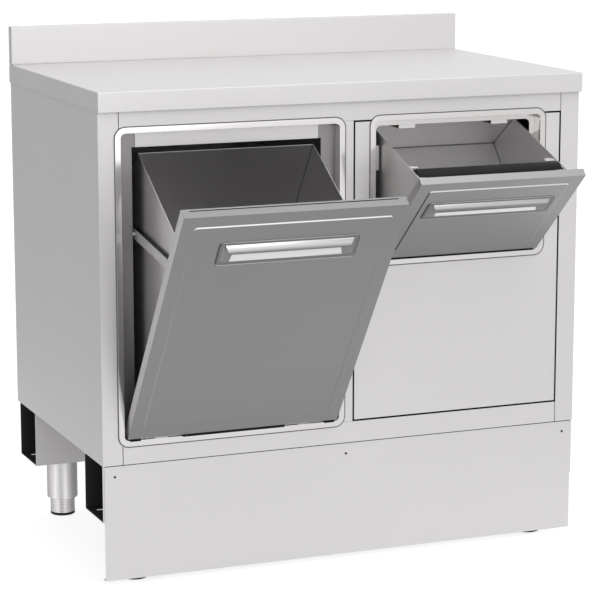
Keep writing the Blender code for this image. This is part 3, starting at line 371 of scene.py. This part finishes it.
# Screws are blackened in a bath; rubber and pale sealant come matt from their moulds and nozzles; black gap
# strips and grey bezel lines are painted shade.
SCREW = satin_stainless("blackened_steel_screws", "#343333", 0.40, "X")
RUBBER = moulded_rubber("black_moulded_rubber", "#101010", "#1c1c1c", 0.5)
GAP_SHADE_BLACK = moulded_rubber("black_painted_gap_shade", "#070707", "#0e0e0e", 0.8)
SHADE_LINE_GREY = moulded_rubber("grey_painted_shade_line", "#646363", "#727171", 0.5)
PALE_SEALANT = moulded_rubber("pale_silicone_sealant", "#cfcdcd", "#d8d6d6", 0.4)
BOARD = pressed_board("pressed_board")

HINGE_LEAVES = [f"{door}_{leaf}_{hand}" for door in ("bin_door", "drawer_front")
                for leaf in ("fixed_leaf", "door_leaf") for hand in HANDS]
FINISHED_NODES = (
    (SATIN_ACROSS, ("worktop_skin", "backsplash", "back_panel", "cabinet_floor", "top_front_rail",
                    "bottom_front_rail", "right_front_panel", "plinth")),
    (SATIN_UPRIGHT, ("left_side_panel", "right_side_panel", "centre_mullion", "centre_partition")),
    (BRIGHT, ("bin_opening_ring", "drawer_opening_ring", "drawer_inner_frame", "knock_bar_core",
              *HINGE_LEAVES)),
    (BRIGHT, [f"{kind}_{hand}" for kind in ("drawer_stop_tab", "knock_bar_bracket") for hand in HANDS]),
    (TOP_BAR, ("bin_top_bar",)),
    (FLANGE, ("bin_inner_frame",)),
    (HOPPER, ("bin_hopper",)),
    (BOX, ("drawer_box",)),
    (BIN_STEEL, ("bin_door_skin", "bin_door_back")),
    (DRAWER_STEEL, ("drawer_front_skin", "drawer_front_back")),
    (BIN_CUP, ("bin_door_handle_cup",)),
    (DRAWER_CUP, ("drawer_front_handle_cup",)),
    (BIN_GRIP, ("bin_door_handle_grip",)),
    (DRAWER_GRIP, ("drawer_front_handle_grip",)),
    (RAIL_STEEL, ("bin_side_rail_left", "bin_side_rail_right")),
    (FRONT_CHANNEL, ("front_base_channel",)),
    (REAR_CHANNEL, ("rear_base_channel",)),
    (DRAWN_TUBE, [f"{kind}_{corner}" for kind in ("leg", "foot") for corner in CORNERS]),
    (RUBBER, ("knock_bar_sleeve", *(f"foot_pad_{corner}" for corner in CORNERS))),
    (BOARD, ("worktop_core",)),
)


def finish_node(name, material):
    """Gives a node its material and eases its folded edges."""
    node = NODES[name]
    node.data.materials.clear()
    node.data.materials.append(material)
    weld = node.modifiers.new("joined_facets", "WELD")
    weld.merge_threshold = 0.01 * MM
    edge = node.modifiers.new("eased_edges", "BEVEL")
    edge.width = WORKTOP_ROUNDING if name in ("worktop_skin", "backsplash") else SHEET_ROUNDING
    edge.segments = 2
    edge.limit_method = "ANGLE"
    edge.angle_limit = FOLD_ANGLE
    node.modifiers.new("flat_faces", "WEIGHTED_NORMAL")


for finish, node_names in FINISHED_NODES:
    for node_name in node_names:
        finish_node(node_name, finish)


# Modelling steps that several pieces share
def open_mesh():
    """Opens the active piece's mesh for shaping, with all of it selected."""
    bpy.ops.object.mode_set(mode="EDIT")
    bpy.ops.mesh.select_all(action="SELECT")


def close_mesh():
    """Goes back from shaping a mesh to handling whole pieces."""
    bpy.ops.object.mode_set(mode="OBJECT")


def open_faces(piece, wanted):
    """Opens a piece's mesh with only those faces selected whose centre and direction are wanted."""
    bpy.ops.object.mode_set(mode="EDIT")
    bpy.ops.mesh.select_mode(type="FACE")
    bpy.ops.mesh.select_all(action="DESELECT")
    close_mesh()
    bpy.context.view_layer.update()
    turned = piece.matrix_world.to_3x3()
    for face in piece.data.polygons:
        face.select = wanted(piece.matrix_world @ face.center, turned @ face.normal)
    bpy.ops.object.mode_set(mode="EDIT")


def settle():
    """Applies the active piece's place, turn and size to its mesh."""
    bpy.ops.object.transform_apply(location=True, rotation=True, scale=True)


def keep(name, body, slot, material):
    """Names the piece just modelled, settles its place into its mesh and lets it ride on a body."""
    piece = bpy.context.object
    piece.name = name
    piece.data.name = name
    settle()
    bpy.ops.object.shade_smooth_by_angle(angle=FOLD_ANGLE)
    piece.data.materials.clear()
    piece.data.materials.append(material)
    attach(piece, body)
    return piece


def copy_to(piece, name, offset, body, slot, material):
    """Second piece of the same shape, moved by an offset."""
    bpy.ops.object.select_all(action="DESELECT")
    twin = piece.copy()
    twin.data = piece.data.copy()
    bpy.context.scene.collection.objects.link(twin)
    twin.parent = None
    twin.location = offset
    bpy.context.view_layer.objects.active = twin
    twin.select_set(True)
    return keep(name, body, slot, material)


def lay_on_door(piece, door):
    """Takes a piece modelled upright over the origin to an open door's hinge axis, leaning with the door."""
    piece.rotation_euler = (door.tilt, 0, 0)
    piece.location = door.axis


def start_plate(low_x, high_x, low_z, high_z, y):
    """Upright plane that faces the front, with its size settled."""
    bpy.ops.object.select_all(action="DESELECT")
    middle = ((low_x + high_x) / 2, y, (low_z + high_z) / 2)
    bpy.ops.mesh.primitive_plane_add(size=1.0, location=middle, rotation=(math.pi / 2, 0, 0))
    bpy.context.object.scale = (high_x - low_x, high_z - low_z, 1.0)
    bpy.ops.object.transform_apply(location=False, rotation=False, scale=True)
    return bpy.context.object


def give_depth(piece, depth, rounding):
    """Thickens a sheet to the back and rounds its edges."""
    thick = piece.modifiers.new("thickness", "SOLIDIFY")
    thick.thickness = depth
    thick.offset = -1.0
    soft = piece.modifiers.new("rounding", "BEVEL")
    soft.width = rounding
    soft.segments = 2
    bpy.ops.object.modifier_apply(modifier=thick.name)
    bpy.ops.object.modifier_apply(modifier=soft.name)


def open_middle(width):
    """Cuts the middle out of the plate being shaped, and leaves a band of a width."""
    bpy.ops.mesh.select_all(action="SELECT")
    bpy.ops.mesh.inset(thickness=width, use_boundary=True)
    bpy.ops.mesh.delete(type="FACE")


def round_band(low_x, high_x, low_z, high_z, y, corner, width, depth):
    """Band round an opening: a plate with round corners, inset, cut open and thickened."""
    piece = start_plate(low_x, high_x, low_z, high_z, y)
    open_mesh()
    bpy.ops.mesh.bevel(offset=corner, segments=10, affect="VERTICES")
    open_middle(width)
    close_mesh()
    give_depth(piece, depth, 0.15 * width)
    return piece


def lay_strip(low_x, high_x, low_z, high_z, y, depth, rounding):
    """Straight strip along a joint: a plate parted along its middle, thickened and rounded."""
    piece = start_plate(low_x, high_x, low_z, high_z, y)
    open_mesh()
    bpy.ops.mesh.subdivide(number_cuts=1)
    close_mesh()
    give_depth(piece, depth, rounding)


def turn(stations, hollow, segments=64):
    """Piece turned about Z: a circle drawn through stations of radius and height, then closed."""
    bpy.ops.object.select_all(action="DESELECT")
    start_radius, start_height = stations[0]
    bpy.ops.mesh.primitive_circle_add(vertices=segments, radius=start_radius, location=(0, 0, start_height))
    piece = bpy.context.object
    bpy.ops.object.mode_set(mode="EDIT")
    bpy.ops.mesh.select_mode(type="EDGE")
    bpy.ops.mesh.select_all(action="SELECT")
    for (radius, height), (next_radius, next_height) in zip(stations, stations[1:]):
        bpy.ops.mesh.extrude_region_move(TRANSFORM_OT_translate={"value": (0, 0, next_height - height)})
        share = next_radius / radius
        bpy.ops.transform.resize(value=(share, share, 1.0), center_override=(0, 0, next_height))
    bpy.ops.mesh.select_all(action="DESELECT")
    bpy.ops.mesh.select_non_manifold()
    if hollow:
        bpy.ops.mesh.bridge_edge_loops()
    else:
        bpy.ops.mesh.fill_holes(sides=0)
    bpy.ops.mesh.select_all(action="SELECT")
    bpy.ops.mesh.normals_make_consistent(inside=False)
    close_mesh()
    return piece


# Bezels and gaps
def shade_line_round_bezel(node_name, name):
    """Thin grey line of painted shade round a bezel's outer edge."""
    low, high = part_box(node_name)
    width = 2.0 * MM
    corner = 22.0 * MM
    setback = 0.5 * MM
    round_band(low[0] - width, high[0] + width, low[2] - width, high[2] + width, low[1] + setback,
               corner, width, depth=1.0 * MM)
    keep(name, "counter", "black_rubber", SHADE_LINE_GREY)


def roll_cup_edge(name, door, material):
    """Thin rolled edge round a handle cup's flange, on the door's raised field."""
    width = 2.2 * MM
    corner = 9.2 * MM
    setback = 0.4 * MM
    overlap = 0.1 * MM
    high = door.top - CUP_DROP
    reach = CUP_HALF_WIDTH + width
    piece = round_band(-reach, reach, high - CUP_HEIGHT - width, high + width, CUP_FRONT + setback,
                       corner, width - overlap, depth=0.8 * MM)
    settle()
    lay_on_door(piece, door)
    keep(name, door.body, "bright_trim_steel", material)


def seal_splash():
    """Pale sealant in the corner where the upstand meets the worktop."""
    low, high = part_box("backsplash")
    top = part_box("worktop_skin")[1][2]
    end = 1 * MM
    foot = top + 0.1 * MM
    crest = top + 2.4 * MM
    front = low[1] - 1.6 * MM
    lay_strip(low[0] + end, high[0] - end, foot, crest, front, depth=1.5 * MM, rounding=0.5 * MM)
    keep("splash_sealant", "counter", "black_rubber", PALE_SEALANT)


def line_panel_gap():
    """Black strip of painted shade in the gap round the blank panel, a little wider than the gap and proud of
    the panel.
    """
    low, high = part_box("right_front_panel")
    reach = 3.3 * MM
    overlap = 0.3 * MM
    proud = 0.12 * MM
    piece = start_plate(low[0] - reach, high[0] + reach, low[2] - reach, high[2] + reach, low[1] - proud)
    bpy.ops.object.mode_set(mode="EDIT")
    open_middle(reach + overlap)
    close_mesh()
    give_depth(piece, depth=3 * MM, rounding=0.2 * MM)
    keep("panel_gap_shade_strip", "counter", "black_rubber", GAP_SHADE_BLACK)


def line_plinth_joint():
    """Black strip of painted shade in the joint between the plinth and the carcass."""
    low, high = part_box("plinth")
    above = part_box("bottom_front_rail")[0][2]
    end = 1 * MM
    slack = 0.1 * MM
    lay_strip(low[0] + end, high[0] - end, high[2] + slack, above - slack, low[1] + slack,
              depth=5 * MM, rounding=0.15 * MM)
    keep("plinth_joint_strip", "counter", "black_rubber", GAP_SHADE_BLACK)


def lay_sill_strip(name, door, low_x, high_x, low_z, high_z, depth):
    """Black strip of painted shade on a bezel's sill under the door's lower edge, lapped down over the sill's
    front.
    """
    middle_x, axis_y, axis_z = door.axis
    sill = axis_z - 2.8 * MM
    front = axis_y - 4.5 * MM
    lap_depth = 0.35 * MM
    touch = 0.01 * MM
    piece = start_plate(middle_x + low_x, middle_x + high_x, axis_z + low_z, axis_z + high_z, front)
    open_mesh()
    bpy.ops.mesh.bisect(plane_co=(0, 0, sill), plane_no=(0, 0, 1))
    close_mesh()
    give_depth(piece, lap_depth, rounding=0.1 * MM)
    open_faces(piece, lambda centre, normal: centre.z > sill and centre.y > front + lap_depth - touch)
    bpy.ops.mesh.extrude_region_move(TRANSFORM_OT_translate={"value": (0, depth, 0)})
    close_mesh()
    keep(name, "counter", "black_rubber", GAP_SHADE_BLACK)


# Small fasteners and brackets
def fit_plinth_screws():
    """Three pan-head screws with a socket, let into the plinth's face."""
    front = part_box("plinth")[0][1]
    first_x = -474 * MM
    level = 213 * MM
    proud = 0.3 * MM
    bpy.ops.object.select_all(action="DESELECT")
    bpy.ops.mesh.primitive_cylinder_add(vertices=24, radius=2.0 * MM, depth=1.4 * MM,
                                        rotation=(math.pi / 2, 0, 0),
                                        location=(first_x, front - proud, level))
    screw = bpy.context.object
    bpy.ops.object.transform_apply(location=False, rotation=True, scale=False)
    open_faces(screw, lambda centre, normal: normal.y < -0.9)
    bpy.ops.mesh.bevel(offset=0.4 * MM, segments=3, affect="EDGES")
    bpy.ops.mesh.inset(thickness=0.7 * MM)
    bpy.ops.mesh.extrude_region_move(TRANSFORM_OT_translate={"value": (0, 0.8 * MM, 0)})
    close_mesh()
    left = keep("plinth_screw_left", "counter", "satin_steel", SCREW)
    for hand, x in (("middle", -1 * MM), ("right", 475 * MM)):
        copy_to(left, f"plinth_screw_{hand}", (x - first_x, 0, 0), "counter", "satin_steel", SCREW)


def fit_guide_tongue():
    """Guide tongue that stands in the drawer opening's left side, in front of the inner frame."""
    frame_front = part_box("drawer_inner_frame")[0][1]
    low_x, high_x = 59.4 * MM, 75.5 * MM
    low_z, high_z = 764 * MM, 812 * MM
    standoff = 1.7 * MM
    piece = start_plate(low_x, high_x, low_z, high_z, frame_front - standoff)
    open_mesh()
    bpy.ops.mesh.bevel(offset=2 * MM, segments=4, affect="VERTICES")
    close_mesh()
    give_depth(piece, depth=1.4 * MM, rounding=0.3 * MM)
    keep("drawer_guide_tongue", "counter", "bright_trim_steel", SATIN_UPRIGHT)


def fit_bar_ears():
    """Four folded ears, behind and in front of each end of the knock bar, level with the box's rim."""
    low, high = (Vector(corner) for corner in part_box("knock_bar_core"))
    middle = (low + high) / 2
    rim = math.radians(19)
    along = Vector((0, math.cos(rim), math.sin(rim)))
    above = Vector((0, -math.sin(rim), math.cos(rim)))
    reach, breadth, thickness = 16 * MM, 12 * MM, 1.5 * MM
    end_gap = 2.6 * MM
    from_bar = 25 * MM
    over_bar = 10.5 * MM
    fold = 2 * MM
    start = Vector((low.x + end_gap + reach / 2, middle.y, middle.z))
    riding = ("knock_drawer", "bright_trim_steel", BRIGHT)
    bpy.ops.object.select_all(action="DESELECT")
    bpy.ops.mesh.primitive_cube_add(size=1.0, rotation=(rim, 0, 0),
                                    location=start + from_bar * along + over_bar * above)
    ear = bpy.context.object
    ear.scale = (reach, breadth, thickness)
    bpy.ops.object.transform_apply(location=False, rotation=False, scale=True)
    open_faces(ear, lambda centre, normal: normal.x > 0.9)
    bpy.ops.mesh.extrude_region_move(TRANSFORM_OT_translate={"value": fold * (Vector((1, 0, 0)) - above)})
    bpy.ops.mesh.select_all(action="SELECT")
    bpy.ops.mesh.bevel(offset=0.3 * MM, segments=2, affect="EDGES")
    close_mesh()
    left = keep("bar_ear_left_rear", *riding)
    copy_to(left, "bar_ear_left_front", -2 * from_bar * along, *riding)
    right = copy_to(left, "bar_ear_right_rear", (0, 0, 0), *riding)
    open_mesh()
    bpy.ops.transform.mirror(orient_type="GLOBAL", constraint_axis=(True, False, False),
                             center_override=(middle.x, 0, 0))
    bpy.ops.mesh.normals_make_consistent(inside=False)
    close_mesh()
    copy_to(right, "bar_ear_right_front", -2 * from_bar * along, *riding)


# Legs and feet
def leg_stations(low, high):
    """Half section of a leg tube with an eased lower rim, as radius and height."""
    outer = 31.8 * MM
    bore = 25.9 * MM
    return [(bore, low), (outer - 2.5 * MM, low), (outer - 0.7 * MM, low + 0.8 * MM), (outer, low + 2.6 * MM),
            (outer, high - 0.6 * MM), (outer - 0.6 * MM, high), (bore, high)]


def foot_stations(low, high):
    """Half section of a foot's barrel, with rings that stand for its thread, as radius and height."""
    crest = 25.5 * MM
    root = 24.7 * MM
    pitch = 5.0 * MM
    thread_start = low + 4.0 * MM
    thread_end = low + 60 * MM
    stations = [(crest - 1.0 * MM, low), (crest, low + 1.0 * MM), (crest, thread_start)]
    height = thread_start
    while height < thread_end:
        stations += [(root, height + 0.5 * MM), (root, height + 1.3 * MM), (crest, height + 1.8 * MM),
                     (crest, height + pitch)]
        height += pitch
    return stations + [(crest, high - 0.8 * MM), (crest - 0.8 * MM, high)]


def pad_stations():
    """Half section of a foot's rubber pad, as radius and height."""
    return [(22.0 * MM, 0.0), (24.2 * MM, 0.3 * MM), (25.5 * MM, 1.6 * MM), (25.5 * MM, 4.4 * MM),
            (24.9 * MM, 5.0 * MM)]


def fit_legs():
    """Tube legs, ringed feet and rubber pads, made at one corner and copied to the rest."""
    places = {}
    for corner in CORNERS:
        low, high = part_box(f"leg_{corner}")
        places[corner] = Vector(((low[0] + high[0]) / 2, (low[1] + high[1]) / 2, 0))
    first = CORNERS[0]
    leg_heights, foot_heights = ([end[2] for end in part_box(f"{kind}_{first}")] for kind in ("leg", "foot"))
    shapes = (("leg", leg_stations(*leg_heights), True, "satin_steel", DRAWN_TUBE),
              ("foot", foot_stations(*foot_heights), False, "satin_steel", DRAWN_TUBE),
              ("foot_pad", pad_stations(), False, "black_rubber", RUBBER))
    for kind, stations, hollow, slot, material in shapes:
        master = turn(stations, hollow)
        master.location = master.location + places[first]
        for corner in CORNERS:
            name = f"turned_{kind}_{corner}"
            body = "counter" if kind == "leg" else f"foot_body_{corner}"
            if corner == first:
                piece = keep(name, body, slot, material)
            else:
                piece = copy_to(master, name, places[corner] - places[first], body, slot, material)
            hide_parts(f"{kind}_{corner}")


# Knock bar and grips
def fit_bar_sleeve():
    """Thick rubber sleeve with rounded ends on the knock bar's core."""
    low, high = (Vector(corner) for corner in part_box("knock_bar_sleeve"))
    half = (high.x - low.x) / 2
    radius = (high.z - low.z) / 2
    bore = 8.3 * MM
    round_end = 3 * MM
    shoulder = 0.9 * MM
    sleeve = turn([(bore, -half), (radius - round_end, -half), (radius - shoulder, -half + shoulder),
                   (radius, -half + round_end), (radius, half - round_end),
                   (radius - shoulder, half - shoulder), (radius - round_end, half), (bore, half)], True)
    settle()
    sleeve.rotation_euler = (0, math.pi / 2, 0)
    sleeve.location = (low + high) / 2
    piece = keep("rubber_bar_sleeve", "knock_drawer", "black_rubber", RUBBER)
    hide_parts("knock_bar_sleeve")


def fit_grip(name, node_name, door, material):
    """Rolled grip: one edge spun into an arc, trimmed aslant at both ends, thickened and laid on the door."""
    top_lean = math.radians(55)
    low_lean = math.radians(10)
    height = 16.5 * MM
    end_slant = 7.8 * MM
    end_gap = 6.2 * MM
    top_gap = 0.3 * MM
    radius = height / (math.sin(top_lean) + math.sin(low_lean))
    half = CUP_HALF_WIDTH - CUP_LIP - end_gap
    top = door.top - CUP_DROP - CUP_LIP - top_gap
    centre = (0, CUP_FRONT + radius * math.cos(top_lean), top - radius * math.sin(top_lean))
    bpy.ops.object.select_all(action="DESELECT")
    bpy.ops.mesh.primitive_plane_add(size=2 * half, location=(0, CUP_FRONT + half, top))
    grip = bpy.context.object
    settle()
    bpy.ops.object.mode_set(mode="EDIT")
    bpy.ops.mesh.select_mode(type="VERT")
    bpy.ops.mesh.select_all(action="DESELECT")
    close_mesh()
    for vert in grip.data.vertices:
        vert.select = vert.co.y > CUP_FRONT + half
    bpy.ops.object.mode_set(mode="EDIT")
    bpy.ops.mesh.delete(type="VERT")
    bpy.ops.mesh.select_all(action="SELECT")
    bpy.ops.mesh.spin(steps=18, angle=-top_lean - low_lean, center=centre, axis=(1, 0, 0))
    for hand in (-1, 1):
        bpy.ops.mesh.select_all(action="SELECT")
        bpy.ops.mesh.bisect(plane_co=(hand * half, 0, top), plane_no=(hand, 0, -end_slant / height),
                            clear_outer=True)
    bpy.ops.mesh.select_all(action="SELECT")
    bpy.ops.mesh.normals_make_consistent(inside=False)
    close_mesh()
    if sum(face.normal.y for face in grip.data.polygons) > 0:
        open_mesh()
        bpy.ops.mesh.flip_normals()
        close_mesh()
    give_depth(grip, depth=1.0 * MM, rounding=0.2 * MM)
    lay_on_door(grip, door)
    piece = keep(name, door.body, "bright_trim_steel", material)
    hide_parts(node_name)


shade_line_round_bezel("bin_opening_ring", "bin_bezel_shade_line")
shade_line_round_bezel("drawer_opening_ring", "drawer_bezel_shade_line")
roll_cup_edge("bin_cup_edge", BIN, BIN_CUP_EDGE)
roll_cup_edge("drawer_cup_edge", DRAWER, DRAWER_CUP_EDGE)
seal_splash()
line_panel_gap()
line_plinth_joint()
for part, start_x, end_x in (("middle", -104 * MM, 104 * MM), ("left", -208 * MM, -187 * MM),
                             ("right", 187 * MM, 208 * MM)):
    lay_sill_strip(f"bin_sill_strip_{part}", BIN, start_x, end_x, low_z=-4.8 * MM, high_z=-0.1 * MM,
                   depth=6 * MM)
lay_sill_strip("drawer_sill_strip", DRAWER, -166 * MM, 166 * MM, low_z=-4.6 * MM, high_z=-0.8 * MM,
               depth=1 * MM)
fit_plinth_screws()
fit_guide_tongue()
fit_legs()
fit_bar_sleeve()
fit_bar_ears()
fit_grip("bin_rolled_grip", "bin_door_handle_grip", BIN, BIN_GRIP)
fit_grip("drawer_rolled_grip", "drawer_front_handle_grip", DRAWER, DRAWER_GRIP)


# Studio
def make_floor():
    """White floor that keeps the shadow; in the steel it shows dimmer to the left and near the front."""
    whiteness = 0.78
    behind_level = 0.75
    left_level = 0.27
    front_level = 0.50
    front_fall = (-0.12, -0.07, 0)
    near_start, near_end = -0.8, -0.35
    left_start, left_end = -1.1, -0.72
    bpy.ops.object.select_all(action="DESELECT")
    bpy.ops.mesh.primitive_circle_add(vertices=96, radius=30.0, fill_type="NGON", location=(0, 0, 0))
    floor = bpy.context.object
    floor.name = "studio_floor"
    material, tree, output = new_material("pale_studio_floor")
    rays = add(tree, "ShaderNodeLightPath")
    mirrored = add(tree, "ShaderNodeMath", {0: rays.outputs["Is Glossy Ray"],
                                            1: rays.outputs["Is Transmission Ray"]}, operation="MAXIMUM")
    place = add(tree, "ShaderNodeTexCoord")
    parts = add(tree, "ShaderNodeSeparateXYZ", {0: place.outputs["Object"]})
    ahead = add(tree, "ShaderNodeVectorMath", {0: place.outputs["Object"], 1: front_fall},
                operation="DOT_PRODUCT")
    front = add(tree, "ShaderNodeMath", {0: ahead.outputs["Value"], 1: front_level}, operation="ADD",
                use_clamp=True)
    near = add(tree, "ShaderNodeMapRange", {"Value": parts.outputs["Y"], "From Min": near_start,
                                            "From Max": near_end,
                                            "To Min": front.outputs[0], "To Max": behind_level})
    left = add(tree, "ShaderNodeMapRange", {"Value": parts.outputs["X"], "From Min": left_start,
                                            "From Max": left_end,
                                            "To Min": left_level, "To Max": near.outputs[0]})
    graded = add(tree, "ShaderNodeMath", {0: mirrored.outputs[0], 1: left.outputs[0]}, operation="MULTIPLY")
    lift = add(tree, "ShaderNodeMath", {0: rays.outputs["Is Camera Ray"], 1: whiteness, 2: graded.outputs[0]},
               operation="MULTIPLY_ADD")
    surface = add(tree, "ShaderNodeBsdfPrincipled", {"Base Color": linear("#a0a0a0"), "Roughness": 0.9,
                                                     "Emission Color": (1, 1, 1, 1),
                                                     "Emission Strength": lift.outputs[0]})
    tree.links.new(surface.outputs[0], output.inputs["Surface"])
    floor.data.materials.append(material)


def make_world():
    """Soft studio surround: white to look at, and as light brighter on the right than on the left."""
    left_level = 0.58
    right_level = 1.0
    left_start, right_end = -0.5, 0.2
    world = bpy.data.worlds.new("studio_surround")
    bpy.context.scene.world = world
    world.use_nodes = True
    tree = world.node_tree
    tree.nodes.clear()
    output = tree.nodes.new("ShaderNodeOutputWorld")
    rays = add(tree, "ShaderNodeLightPath")
    place = add(tree, "ShaderNodeTexCoord")
    parts = add(tree, "ShaderNodeSeparateXYZ", {0: place.outputs["Generated"]})
    level = add(tree, "ShaderNodeMapRange", {"Value": parts.outputs["X"], "From Min": left_start,
                                             "From Max": right_end,
                                             "To Min": left_level, "To Max": right_level})
    strength = add(tree, "ShaderNodeMath", {0: level.outputs[0], 1: rays.outputs["Is Camera Ray"]},
                   operation="MAXIMUM")
    glow = add(tree, "ShaderNodeBackground", {"Color": (1, 1, 1, 1), "Strength": strength.outputs[0]})
    tree.links.new(glow.outputs[0], output.inputs["Surface"])


def make_softbox(name, place, target, size, power):
    """Large soft lamp that faces a target."""
    light = bpy.data.lights.new(name, "AREA")
    light.shape = "SQUARE"
    light.size = size
    light.energy = power
    lamp = bpy.data.objects.new(name, light)
    bpy.context.scene.collection.objects.link(lamp)
    lamp.location = place
    lamp.rotation_euler = (Vector(target) - Vector(place)).to_track_quat("-Z", "Y").to_euler()


def make_camera():
    """Camera fitted to the photograph."""
    lens = bpy.data.cameras.new("photograph_camera")
    lens.lens = CAMERA_LENS
    lens.sensor_width = CAMERA_SENSOR
    camera = bpy.data.objects.new("photograph_camera", lens)
    bpy.context.scene.collection.objects.link(camera)
    camera.location = CAMERA_PLACE
    camera.rotation_euler = (math.pi / 2 - CAMERA_PITCH, 0, -CAMERA_YAW)
    bpy.context.scene.camera = camera


make_floor()
make_world()
make_softbox("key_softbox", place=(0.6, -1.5, 3.6), target=(0, 0, 0.6), size=2.4, power=25)
make_softbox("fill_softbox", place=(-0.6, -5.0, 2.2), target=(0, 0, 0.5), size=5.0, power=78)
make_camera()
bpy.context.scene.view_settings.view_transform = "Standard"
